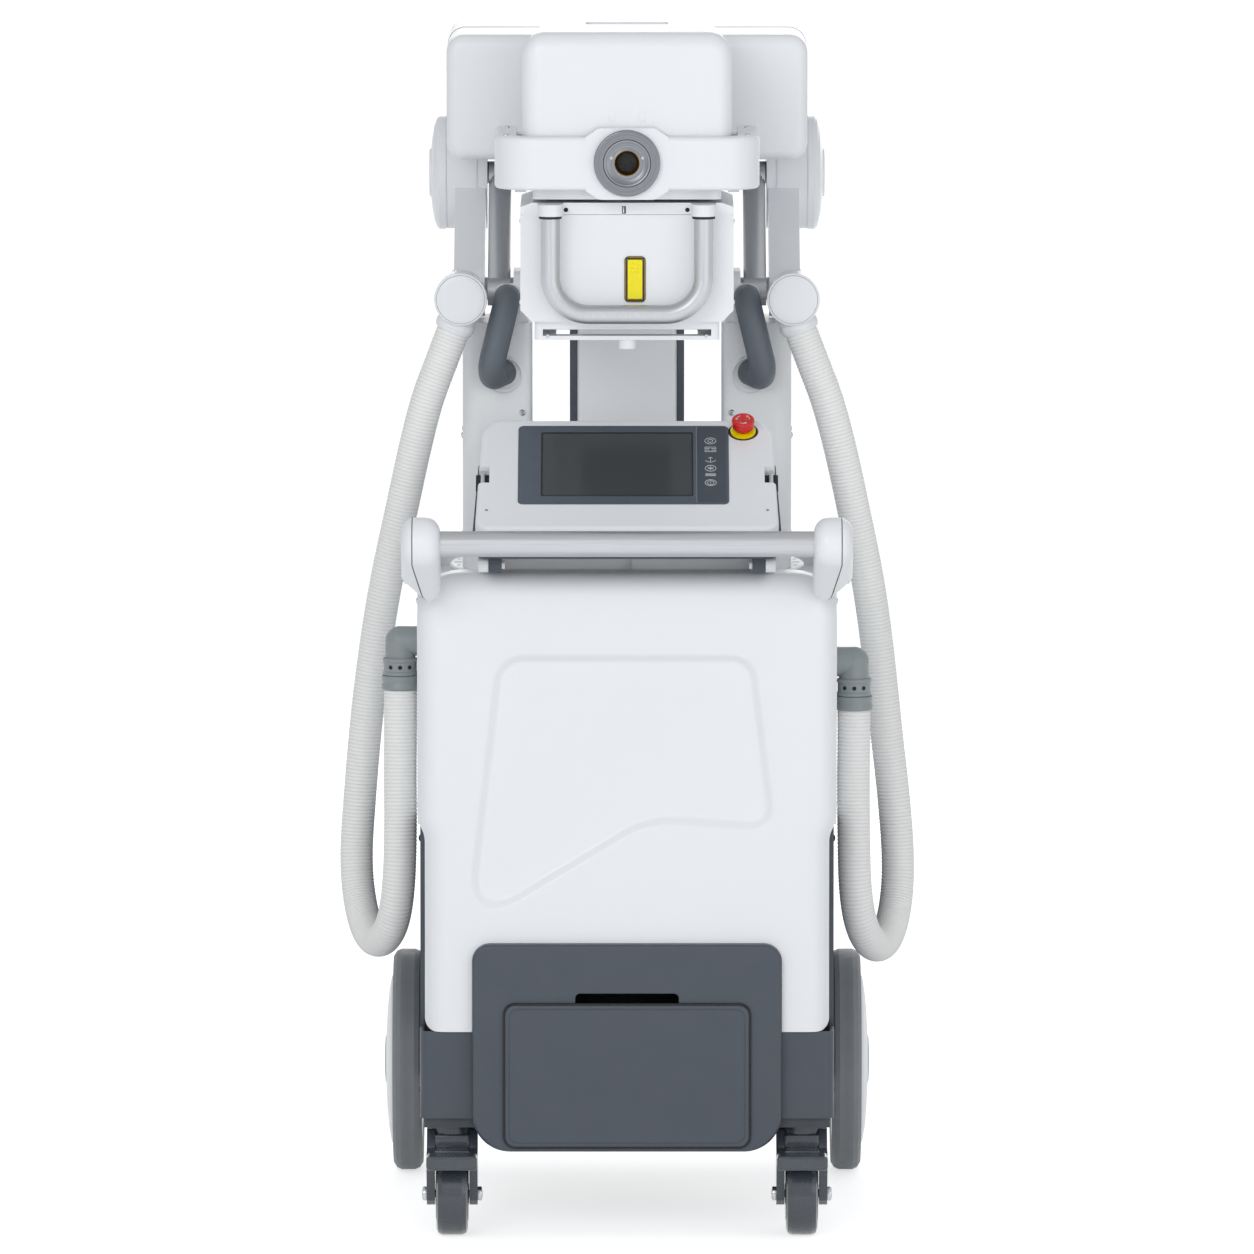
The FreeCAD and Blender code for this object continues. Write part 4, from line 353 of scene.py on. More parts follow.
def add_node(tree, kind, settings=None, links=None):
    """Adds one node with its settings, the values of its sockets, and its links."""
    node = tree.nodes.new(kind)
    for name, value in (settings or {}).items():
        if isinstance(name, int) or name in node.inputs:
            node.inputs[name].default_value = value
        else:
            setattr(node, name, value)
    for name, source in (links or {}).items():
        tree.links.new(source, node.inputs[name])
    return node


def new_material(name):
    """An empty material with its tree and its Principled shader."""
    material = bpy.data.materials.new(name)
    material.use_nodes = True
    tree = material.node_tree
    return material, tree, tree.nodes["Principled BSDF"]


def object_pattern(tree, scale=(1, 1, 1), centre=(0, 0, 0)):
    """Object coordinates, moved to a centre and scaled per axis."""
    place = add_node(tree, "ShaderNodeTexCoord").outputs["Object"]
    moved = add_node(
        tree, "ShaderNodeMapping",
        {"vector_type": "POINT", "Location": [-c * s for c, s in zip(centre, scale)], "Scale": scale},
        {"Vector": place},
    )
    return moved.outputs["Vector"]


def rgba(colour, factor=1.0):
    return tuple(min(1.0, c * factor) for c in colour) + (1.0,)


def blotched(blotch, detail):
    """Settings of a noise with blotches of a size in millimetres."""
    return {"Scale": 1000 / blotch, "Detail": detail}


def two_tones(first, second):
    """Settings of a mix between two colours."""
    return {"data_type": "RGBA", 6: rgba(*first), 7: rgba(*second)}


def shine_span(low, high):
    """Settings of a roughness between two values, over the middle part of a noise."""
    return {"From Min": 0.3, "From Max": 0.7, "To Min": low, "To Max": high}


def mottled(tree, shader, colour, spread, blotch, place):
    """Colour that varies a little over blotches of a size in millimetres."""
    cloud = add_node(tree, "ShaderNodeTexNoise", blotched(blotch, 3.0), {"Vector": place})
    tones = two_tones((colour, 1 - spread), (colour, 1 + spread))
    shade = add_node(tree, "ShaderNodeMix", tones, {0: cloud.outputs["Fac"]})
    tree.links.new(shade.outputs[2], shader.inputs["Base Color"])
    return shade.outputs[2]


def surface(name, colour, blotches, shine, grain=None, settings=None):
    """A material from the spread and size of its blotches, its span of roughness and that one's size, and its
    grain's size, depth and strength. Sizes are in millimetres."""
    material, tree, shader = new_material(name)
    place = object_pattern(tree)
    mottled(tree, shader, colour, *blotches, place)
    low, high, blotch = shine
    cloud = add_node(tree, "ShaderNodeTexNoise", blotched(blotch, 4.0), {"Vector": place})
    span = add_node(tree, "ShaderNodeMapRange", shine_span(low, high), {"Value": cloud.outputs["Fac"]})
    tree.links.new(span.outputs["Result"], shader.inputs["Roughness"])
    if grain:
        size, depth, strength = grain
        height = add_node(tree, "ShaderNodeTexNoise", blotched(size, 2.0), {"Vector": place})
        bump = add_node(
            tree, "ShaderNodeBump", {"Strength": strength, "Distance": mm(depth)},
            {"Height": height.outputs["Fac"]},
        )
        tree.links.new(bump.outputs["Normal"], shader.inputs["Normal"])
    for socket, value in (settings or {}).items():
        shader.inputs[socket].default_value = value
    return material


# Finishes

def gloss_abs():
    """Moulded ABS covers: satin gloss, with the faint flow marks and orange peel of a large moulding."""
    return surface(
        "moulded_abs_cover", colours().cover, (0.006, 260), (0.3, 0.34, 150), (1.6, 0.012, 0.5), {"IOR": 1.5}
    )


def white_casting():
    """Painted aluminium casting of the arm: the same white, over the slight unevenness of sand-cast metal."""
    return surface("painted_casting", colours().cover, (0.018, 90), (0.34, 0.46, 40), (3.0, 0.05, 0.6))


def powder_coat():
    """Powder coat over sheet steel: light grey, with a fine eggshell grain."""
    return surface("powder_coated_steel", colours().column, (0.015, 120), (0.38, 0.48, 50), (0.9, 0.02, 0.7))


def slate_moulding():
    """Moulded polycarbonate in slate grey, with a fine spark-eroded texture that holds a soft shine."""
    return surface("slate_moulded_plastic", colours().slate, (0.05, 70), (0.36, 0.5, 30), (0.8, 0.03, 0.8))


def black_enamel():
    """Enamelled steel of the chassis and the power unit: near black, satin, a little uneven."""
    return surface("enamelled_steel", hex_colour("#3A3E43"), (0.12, 40), (0.35, 0.55, 25), (1.5, 0.04, 0.6))


def brushed_tube(name, along):
    """Stainless tube, belt-polished along its length: fine lines that stretch the shine across the tube."""
    material, tree, shader = new_material(name)
    lines = object_pattern(tree, [14.0 if run else 1600.0 for run in along])
    streaks = add_node(tree, "ShaderNodeTexNoise", blotched(1000, 4.0), {"Vector": lines}).outputs["Fac"]
    tones = two_tones((hex_colour("#A4A6AA"),), (hex_colour("#CFD1D4"),))
    steel = add_node(tree, "ShaderNodeMix", tones, {0: streaks})
    span = add_node(tree, "ShaderNodeMapRange", shine_span(0.36, 0.5), {"Value": streaks})
    bump = add_node(tree, "ShaderNodeBump", {"Strength": 0.25, "Distance": mm(0.02)}, {"Height": streaks})
    tree.links.new(steel.outputs[2], shader.inputs["Base Color"])
    tree.links.new(span.outputs["Result"], shader.inputs["Roughness"])
    tree.links.new(bump.outputs["Normal"], shader.inputs["Normal"])
    shader.inputs["Metallic"].default_value = 1.0
    return material


def turned_metal(name, code, centre, axis, pitch, roughness):
    """Metal turned on a lathe: rings round the axis, drawn coarser than the tool's marks so they show."""
    material, tree, shader = new_material(name)
    place = object_pattern(tree, (1, 1, 1), centre)
    rings = add_node(
        tree, "ShaderNodeTexWave",
        {"wave_type": "RINGS", "rings_direction": axis, "Scale": 1000 / pitch / 20, "Distortion": 0.3},
        {"Vector": place},
    ).outputs["Fac"]
    tones = two_tones((hex_colour(code), 0.9), (hex_colour(code), 1.08))
    metal = add_node(tree, "ShaderNodeMix", tones, {0: rings})
    bump = add_node(tree, "ShaderNodeBump", {"Strength": 0.3, "Distance": mm(0.02)}, {"Height": rings})
    tree.links.new(metal.outputs[2], shader.inputs["Base Color"])
    tree.links.new(bump.outputs["Normal"], shader.inputs["Normal"])
    shader.inputs["Metallic"].default_value = 1.0
    shader.inputs["Roughness"].default_value = roughness
    return material


def plated_steel():
    """Zinc-plated screws and axles: bright, with a slightly cloudy plating."""
    return surface(
        "zinc_plated_steel", hex_colour("#C4C6C8"), (0.08, 4), (0.2, 0.34, 3), settings={"Metallic": 1.0}
    )


def display_glass():
    """Hard-coated glass over a switched-off display: a flat dark grey that mirrors softly."""
    return surface("display_glass", colours().display, (0.03, 120), (0.16, 0.2, 50), settings={"IOR": 1.5})


def gloss_plastic(name, colour, low=0.22, high=0.32):
    """Small glossy mouldings, such as the stop button and the lamp key."""
    return surface(name, colour, (0.03, 12), (low, high, 8), (0.7, 0.01, 0.4), {"IOR": 1.49})


def soft_rubber():
    """Soft moulded rubber of the grips: slate grey, dull, with a fine stipple."""
    return surface(
        "moulded_rubber_grip", hex_colour("#636A73"), (0.05, 25), (0.48, 0.62, 10), (0.6, 0.04, 0.9)
    )


def tyre_rubber(side, centre):
    """Solid grey rubber with fine lines round the tyre from its mould, a little dusty."""
    material, tree, shader = new_material("solid_tyre_rubber_" + side)
    place = object_pattern(tree, (1, 1, 1), centre)
    rubber = mottled(tree, shader, colours().tyre, 0.08, 30, place)
    lines = add_node(
        tree, "ShaderNodeTexWave",
        {"wave_type": "BANDS", "bands_direction": "X", "Scale": 1000 / 3.2 / 20, "Distortion": 0.2},
        {"Vector": place},
    ).outputs["Fac"]
    shade = add_node(
        tree, "ShaderNodeMix",
        {"data_type": "RGBA", "blend_type": "MULTIPLY", 7: (0.9, 0.9, 0.9, 1.0)},
        {0: lines, 6: rubber},
    )
    tree.links.new(shade.outputs[2], shader.inputs["Base Color"])
    cloud = add_node(tree, "ShaderNodeTexNoise", blotched(12, 4.0), {"Vector": place})
    span = add_node(tree, "ShaderNodeMapRange", shine_span(0.5, 0.66), {"Value": cloud.outputs["Fac"]})
    bump = add_node(tree, "ShaderNodeBump", {"Strength": 0.5, "Distance": mm(0.15)}, {"Height": lines})
    tree.links.new(span.outputs["Result"], shader.inputs["Roughness"])
    tree.links.new(bump.outputs["Normal"], shader.inputs["Normal"])
    return material


def nylon():
    """Glass-filled nylon of the casters: dark grey with a wet-looking shine."""
    return surface(
        "glass_filled_nylon", colours().caster, (0.1, 15), (0.18, 0.34, 10), (1.1, 0.02, 0.6),
        {"Coat Weight": 0.3, "Coat Roughness": 0.1},
    )


def hose_vinyl():
    """Ribbed PVC hose: warm grey, dull, with blotches of dust, and painted shade that darkens the grooves."""
    material, tree, shader = new_material("ribbed_vinyl_hose")
    groove = add_node(tree, "ShaderNodeAttribute", {"attribute_name": "groove"}).outputs["Fac"]
    place = object_pattern(tree)
    dust = add_node(tree, "ShaderNodeTexNoise", blotched(14, 3.0), {"Vector": place})
    tones = two_tones((colours().hose, 0.95), (colours().hose, 1.03))
    vinyl = add_node(tree, "ShaderNodeMix", tones, {0: dust.outputs["Fac"]})
    # Painted shade: where the groove attribute is 1, deep between the ribs, the colour falls to 0.85 of the
    # hose's.
    shade = add_node(
        tree, "ShaderNodeMix",
        {"data_type": "RGBA", 7: rgba(colours().hose, 0.85)},
        {0: groove, 6: vinyl.outputs[2]},
    )
    tree.links.new(shade.outputs[2], shader.inputs["Base Color"])
    cloud = add_node(tree, "ShaderNodeTexNoise", blotched(9, 4.0), {"Vector": place})
    span = add_node(tree, "ShaderNodeMapRange", shine_span(0.42, 0.58), {"Value": cloud.outputs["Fac"]})
    tree.links.new(span.outputs["Result"], shader.inputs["Roughness"])
    return material


def fitting_grey():
    """Glass-filled polyamide of the hose elbows: mid grey, satin."""
    return surface("polyamide_fitting", colours().fitting, (0.05, 20), (0.34, 0.46, 12), (0.8, 0.03, 0.7))


def shadow_black():
    """Near-black rubber of seals, screws and small plates, and painted shade: the same near black on the
    floors of holes, wells and slots.
    """
    return surface("seal_rubber_and_painted_shade", hex_colour("#1D1F22"), (0.15, 6), (0.6, 0.8, 5))


def printed_white():
    """Screen-printed ink on the keypad film: flat pale grey."""
    return surface("keypad_ink", hex_colour("#D9DDE2"), (0.03, 3), (0.4, 0.5, 4))


FINISH = {}


def finishes():
    """The materials by the record's slot, made once."""
    if not FINISH:
        bore = at(0, BAND_FRONT, ROLL_Z)
        FINISH.update({
            "white_abs": gloss_abs(),
            "cool_grey_paint": powder_coat(),
            "slate_plastic": slate_moulding(),
            "dark_steel": black_enamel(),
            "stainless": brushed_tube("belt_polished_tube", (False, False, True)),
            "cross_stainless": brushed_tube("belt_polished_bar", (True, False, False)),
            "turned_steel": turned_metal("turned_stainless", "#83868B", bore, "Y", 0.5, 0.36),
            "brass": turned_metal("turned_brass", "#94783A", bore, "Y", 0.6, 0.3),
            "cast_white": white_casting(),
            "screen_glass": display_glass(),
            "red_plastic": gloss_plastic("stop_red_plastic", colours().stop),
            "yellow_plastic": gloss_plastic("signal_yellow_plastic", colours().key),
            "bezel_plastic": gloss_plastic("bezel_polycarbonate", hex_colour("#525B66"), 0.36, 0.46),
            "grip_rubber": soft_rubber(),
            "tyre_left": tyre_rubber("left", at(-REAR_WHEEL_X, REAR_AXLE_Y, REAR_AXLE_Z)),
            "tyre_right": tyre_rubber("right", at(REAR_WHEEL_X, REAR_AXLE_Y, REAR_AXLE_Z)),
            "wheel_white": gloss_plastic("wheel_cap_polypropylene", colours().cover, 0.3, 0.42),
            "caster_dark": nylon(),
            "hose_vinyl": hose_vinyl(),
            "fitting_grey": fitting_grey(),
            "power_dark": black_enamel(),
            "plated": plated_steel(),
            # Real near-black seals and small parts; also painted shade on the floors of holes, wells and
            # slots.
            "seal_and_painted_shade": shadow_black(),
            "ink": printed_white(),
        })
    return FINISH


# The CAD nodes that stay, each with the finish of its slot
NODE_FINISH = {
    "white_abs": ["rear_cover", "top_cover", "console_shell", "forearm_housing", "tube_head",
                  "yoke_band", "limiter_body", "accessory_rail", "side_cover_left", "side_cover_right",
                  "pod_left", "pod_right", "hose_drum_left", "hose_drum_right", "hub_cap_left",
                  "hub_cap_right"],
    "cool_grey_paint": ["console_bracket", "turntable_plate", "centre_column", "tower_left", "tower_right"],
    "bezel_plastic": ["console_bezel"],
    "slate_plastic": ["drawer_housing", "console_back", "drawer_front", "drawer_tray",
                      "skirt_left", "skirt_right"],
    "dark_steel": ["chassis_frame"],
    "stainless": ["u_handle", "tie_rod_left", "tie_rod_right"],
    "cross_stainless": ["push_bar"],
    "turned_steel": ["trunnion_ring", "elbow_carrier"],
    "brass": ["trunnion_bush"],
    "cast_white": ["lower_arm", "head_carrier"],
    "screen_glass": ["screen_glass"],
    "yellow_plastic": ["estop_base", "lamp_button"],
    "grip_rubber": ["grip_left", "grip_right"],
    "tyre_left": ["wheel_tyre_left"],
    "tyre_right": ["wheel_tyre_right"],
    "wheel_white": ["wheel_hub_left", "wheel_hub_right"],
    "caster_dark": ["caster_fork_left", "caster_fork_right", "caster_wheel_left", "caster_wheel_right",
                    "caster_pedal_left", "caster_pedal_right"],
    "fitting_grey": ["hose_fitting_left", "hose_fitting_right"],
    "power_dark": ["power_unit"],
}


class XRAY_OT_finishes(bpy.types.Operator):
    """Gives every CAD part that stays its finish"""

    bl_idname = "xray.finishes"
    bl_label = "Finishes of the CAD parts"

    def execute(self, context):
        for finish, names in NODE_FINISH.items():
            for name in names:
                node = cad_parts[name]
                node.data.materials.clear()
                node.data.materials.append(finishes()[finish])
        return {"FINISHED"}


# Camera, light and floor

CAMERA_PLACE = (0, -16.2635, 2.45)
CAMERA_LENS = 380.49
LOOKS_DOWN = 6.0836
LAMP_AIM = Vector((0, 0, 0.75))
FLOOR_RADIUS = 70
FLOOR_GLOW = 0.62
SOFT_LIGHT = 0.5
# How bright metal and glass see the white background, which the camera sees at 1
MIRRORED_WHITE = 0.8


class XRAY_OT_stage(bpy.types.Operator):
    """Makes the camera, the lamps, the floor and the white surroundings"""

    bl_idname = "xray.stage"
    bl_label = "Stage"

    def execute(self, context):
        self.camera(context)
        self.lamps(context)
        self.floor()
        self.surroundings(context)
        context.scene.view_settings.view_transform = "Standard"
        return {"FINISHED"}

    def camera(self, context):
        lens = bpy.data.cameras.new("camera")
        lens.sensor_width = 36
        lens.lens = CAMERA_LENS
        lens.clip_end = 200
        camera = bpy.data.objects.new("camera", lens)
        camera.location = CAMERA_PLACE
        camera.rotation_euler = (math.radians(90 - LOOKS_DOWN), 0, 0)
        context.scene.collection.objects.link(camera)
        context.scene.camera = camera

    def lamps(self, context):
        lamps = [
            ("key", (-2.2, -6.0, 3.4), 2.6, 74),
            ("fill", (3.0, -4.4, 1.8), 3.0, 26),
            ("front", (0.3, -7.0, 1.9), 3.6, 88),
            ("back", (0.5, 5.0, 1.8), 3.0, 38),
        ]
        for name, place, size, power in lamps:
            light = bpy.data.lights.new(name, "AREA")
            light.shape = "DISK"
            light.size = size
            light.energy = power
            lamp = bpy.data.objects.new(name, light)
            lamp.location = place
            # The front lamp only fills shadows: in the steel tubes it would be a bright streak
            lamp.visible_glossy = name != "front"
            aim = LAMP_AIM - Vector(place)
            lamp.rotation_euler = aim.to_track_quat("-Z", "Y").to_euler()
            context.scene.collection.objects.link(lamp)

    def floor(self):
        deselect()
        bpy.ops.mesh.primitive_circle_add(
            vertices=96, radius=FLOOR_RADIUS, fill_type="NGON", location=(0, 0, 0)
        )
        floor = bpy.context.object
        floor.name = "floor"
        material, tree, shader = new_material("studio_floor")
        shader.inputs["Base Color"].default_value = rgba(hex_colour("#F4F5F5"))
        shader.inputs["Roughness"].default_value = 0.9
        glow = add_node(tree, "ShaderNodeEmission", {"Color": (1, 1, 1, 1), "Strength": FLOOR_GLOW})
        both = add_node(tree, "ShaderNodeAddShader", None, {0: shader.outputs[0], 1: glow.outputs[0]})
        seen = self.seen_only(tree)
        mix = add_node(tree, "ShaderNodeMixShader", None, {0: seen, 1: shader.outputs[0], 2: both.outputs[0]})
        tree.links.new(mix.outputs[0], tree.nodes["Material Output"].inputs["Surface"])
        floor.data.materials.append(material)

    def surroundings(self, context):
        world = bpy.data.worlds.new("studio")
        context.scene.world = world
        world.use_nodes = True
        tree = world.node_tree
        tree.nodes.clear()
        soft = add_node(tree, "ShaderNodeBackground", {"Color": (0.96, 0.98, 1, 1), "Strength": SOFT_LIGHT})
        white = add_node(tree, "ShaderNodeBackground", {"Color": (1, 1, 1, 1)})
        path = add_node(tree, "ShaderNodeLightPath")
        mirrored = add_node(
            tree, "ShaderNodeMapRange", {"To Min": MIRRORED_WHITE}, {"Value": path.outputs["Is Camera Ray"]}
        )
        tree.links.new(mirrored.outputs["Result"], white.inputs["Strength"])
        seen = self.seen_only(tree)
        mix = add_node(tree, "ShaderNodeMixShader", None, {0: seen, 1: soft.outputs[0], 2: white.outputs[0]})
        add_node(tree, "ShaderNodeOutputWorld", None, {"Surface": mix.outputs[0]})

    def seen_only(self, tree):
        """1 for rays from the camera, and for those that metal and glass send on."""
        path = add_node(tree, "ShaderNodeLightPath")
        first = add_node(
            tree, "ShaderNodeMath", {"operation": "MAXIMUM"},
            {0: path.outputs["Is Camera Ray"], 1: path.outputs["Is Glossy Ray"]},
        )
        last = add_node(
            tree, "ShaderNodeMath", {"operation": "MAXIMUM"},
            {0: first.outputs[0], 1: path.outputs["Is Transmission Ray"]},
        )
        return last.outputs[0]


# Hoses

HOSE_RADIUS = 20.5
# The points that each hose's line is drawn through, in the drawing's millimetres, as in the CAD source
HOSE_POINTS = {
    "left": [(-213.5, -42.0, 1087.0), (-229.0, -41.0, 1046.0), (-246.5, -39.0, 1000.0),
             (-262.5, -32.0, 935.0), (-278.0, -24.0, 862.0), (-297.0, -12.0, 776.0),
             (-311.0, -2.0, 690.0), (-322.5, 6.0, 598.0), (-330.5, 12.0, 506.0),
             (-336.0, 13.0, 428.0), (-331.0, 0.0, 373.0), (-319.0, -42.0, 338.0),
             (-303.0, -88.0, 334.0), (-287.0, -128.0, 362.0), (-279.5, -143.0, 411.0),
             (-277.5, -141.0, 478.0), (-278.0, -139.0, 552.0), (-277.5, -140.0, 606.0),
             (-277.5, -140.0, 654.5)],
    "right": [(213.5, -42.0, 1087.0), (229.0, -41.0, 1046.0), (247.0, -39.0, 1000.0),
              (264.0, -32.0, 935.0), (279.5, -24.0, 862.0), (297.5, -12.0, 776.0),
              (309.5, -2.0, 690.0), (319.0, 6.0, 598.0), (330.0, 12.0, 506.0),
              (336.5, 13.0, 424.0), (333.0, 0.0, 368.0), (321.0, -42.0, 332.0),
              (305.0, -88.0, 328.0), (288.0, -128.0, 356.0), (279.5, -143.0, 405.0),
              (278.0, -141.0, 470.0), (277.5, -139.0, 540.0), (278.0, -140.0, 588.0),
              (278.0, -140.0, 629.0)],
}
STEPS_PER_RIB = 4


def hose_line(side):
    """The hose's own line: a smooth spline that the route's points control."""
    data = bpy.data.curves.new("hose_line_" + side, "CURVE")
    data.dimensions = "3D"
    spline = data.splines.new("NURBS")
    points = [at(*p) for p in HOSE_POINTS[side]]
    spline.points.add(len(points) - 1)
    for control, place in zip(spline.points, points):
        control.co = (*place, 1.0)
    spline.order_u = 3
    spline.use_endpoint_u = True
    data.resolution_u = 32
    line = bpy.data.objects.new("hose_line_" + side, data)
    bpy.context.scene.collection.objects.link(line)
    bpy.context.view_layer.update()
    mesh = bpy.data.meshes.new_from_object(line)
    places = [v.co.copy() for v in mesh.vertices]
    bpy.data.meshes.remove(mesh)
    bpy.data.objects.remove(line)
    return places


def even_steps(places, step):
    """The same line with its places a step apart."""
    lengths = [0.0]
    for here, there in zip(places, places[1:]):
        lengths.append(lengths[-1] + (there - here).length)
    count = round(lengths[-1] / step)
    result = []
    segment = 0
    for i in range(count + 1):
        target = lengths[-1] * i / count
        while segment < len(places) - 2 and lengths[segment + 1] < target:
            segment += 1
        share = (target - lengths[segment]) / (lengths[segment + 1] - lengths[segment])
        result.append(places[segment].lerp(places[segment + 1], share))
    return result


def ribbed_tube(name, places, radius, depth, sides):
    """A tube along a line, whose radius dips between its ribs, with flat ends."""
    heading = (places[1] - places[0]).normalized()
    side = heading.orthogonal().normalized()
    points = []
    groove = []
    for i, place in enumerate(places):
        ahead = places[min(i + 1, len(places) - 1)]
        behind = places[max(i - 1, 0)]
        along = (ahead - behind).normalized()
        side = (side - along * side.dot(along)).normalized()
        across = along.cross(side)
        dip = (1 - math.cos(2 * math.pi * i / STEPS_PER_RIB)) / 2
        dip = dip ** 2
        r = radius - depth * dip
        for k in range(sides):
            turn = 2 * math.pi * k / sides
            points.append(place + (side * math.cos(turn) + across * math.sin(turn)) * r)
            groove.append(dip)
    faces = []
    for i in range(len(places) - 1):
        for k in range(sides):
            a = i * sides + k
            b = i * sides + (k + 1) % sides
            faces.append((a, b, b + sides, a + sides))
    faces.append(tuple(reversed(range(sides))))
    faces.append(tuple(range(len(points) - sides, len(points))))
    mesh = bpy.data.meshes.new(name)
    mesh.from_pydata(points, [], faces)
    # The groove attribute: 0 on a rib, 1 deepest in a groove; the hose's finish paints shade with it.
    shade = mesh.attributes.new("groove", "FLOAT", "POINT")
    shade.data.foreach_set("value", groove)
    piece = bpy.data.objects.new(name, mesh)
    bpy.context.scene.collection.objects.link(piece)
    return piece


class XRAY_OT_hoses(bpy.types.Operator):
    """Makes the two ribbed hoses from the drums to their fittings"""

    bl_idname = "xray.hoses"
    bl_label = "Hoses"

    def execute(self, context):
        for side in SIDES:
            line = hose_line(side)
            places = even_steps(line, sizes().rib_pitch / STEPS_PER_RIB)
            tube = ribbed_tube(
                side + "_ribbed_hose", places, mm(HOSE_RADIUS), sizes().rib_depth, sizes().tube_sides
            )
            tube.data.materials.append(finishes()["hose_vinyl"])
            smooth(tube, 60)
            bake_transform(tube)
            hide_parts("hose_" + side)
        return {"FINISHED"}


# Fasteners and lines that repeat

def socket_screw(name, radius):
    """A button-head screw with a hexagon socket, at the origin, facing up."""
    height = radius * 0.55
    screw = turned_piece(
        name, Vector((0, 0, 0)), (0, 0, 1),
        [(0, 0), (0, radius * 1000), (height * 350, radius * 970), (height * 800, radius * 700),
         (height * 1000, radius * 480), (height * 1000, 0)], 24,
    )
    deselect()
    bpy.ops.mesh.primitive_cylinder_add(
        vertices=6, radius=radius * 0.5, depth=height, location=(0, 0, height)
    )
    socket = bpy.context.object
    cut(screw, socket)
    return screw


def slotted_screw(name, radius):
    """A flat screw with a straight slot, at the origin, facing up."""
    height = radius * 0.3
    screw = turned_piece(
        name, Vector((0, 0, 0)), (0, 0, 1),
        [(0, 0), (0, radius * 1000), (height * 600, radius * 1000), (height * 1000, radius * 850),
         (height * 1000, 0)],
        24,
    )
    cut(screw, cuboid("slot", (0, 0, height), (radius * 1.7, radius * 0.28, height)))
    return screw


def cut(piece, tool, operation="DIFFERENCE"):
    """Takes the tool's shape out of the piece, or keeps only what lies in it, and takes the tool away."""
    activate(piece)
    modifier = piece.modifiers.new("cut", "BOOLEAN")
    modifier.object = tool
    modifier.operation = operation
    modifier.solver = "EXACT"
    bpy.ops.object.modifier_apply(modifier=modifier.name)
    discard(tool)
    return piece


def fasteners(name, source, places, direction, body, finish):
    """Copies of one screw at several places, joined, riding on a body."""
    copies = [copy_along(source, name + "_" + str(i), place, direction) for i, place in enumerate(places)]
    return finish_piece(joined(name, copies), body, finish)


def surface_line(name, node, places, radius, body, finish="seal_and_painted_shade", subdivisions=24):
    """A parting line: a loop of places pressed onto a CAD part's surface and drawn as a fine dark wire."""
    loop = drawn_line(name, list(places) + [places[0]])
    edit(loop, "EDGE")
    bpy.ops.mesh.subdivide(number_cuts=subdivisions)
    leave_edit()
    activate(loop)
    press = loop.modifiers.new("press", "SHRINKWRAP")
    press.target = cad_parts[node]
    press.wrap_method = "NEAREST_SURFACEPOINT"
    bpy.ops.object.modifier_apply(modifier=press.name)
    bpy.ops.object.convert(target="CURVE")
    loop = bpy.context.object
    loop.data.bevel_depth = radius
    loop.data.bevel_resolution = 1
    bpy.ops.object.convert(target="MESH")
    loop = outward(bpy.context.object, 1e-7)
    loop.name = name
    return finish_piece(loop, body, finish)


def rounded_loop(plane, level, low, high, radius, steps=4):
    """Places round a rectangle with rounded corners, in the drawing's millimetres."""
    places = []
    corners = [(high[0] - radius, high[1] - radius, 0), (low[0] + radius, high[1] - radius, 90),
               (low[0] + radius, low[1] + radius, 180), (high[0] - radius, low[1] + radius, 270)]
    for a, b, start in corners:
        for i in range(steps + 1):
            turn = math.radians(start + 90 * i / steps)
            p = a + radius * math.cos(turn)
            q = b + radius * math.sin(turn)
            places.append({"XZ": at(p, level, q), "YZ": at(level, p, q), "XY": at(p, q, level)}[plane])
    return places


# Head

HEAD_FRONT = -310.0
OVAL_CAP_X = 18.1
OVAL_CAP_HALF_WIDTH = 4.6
OVAL_CAP_LOW = 1361.0
OVAL_CAP_HIGH = 1374.6
BAND_TOP = 1344.4


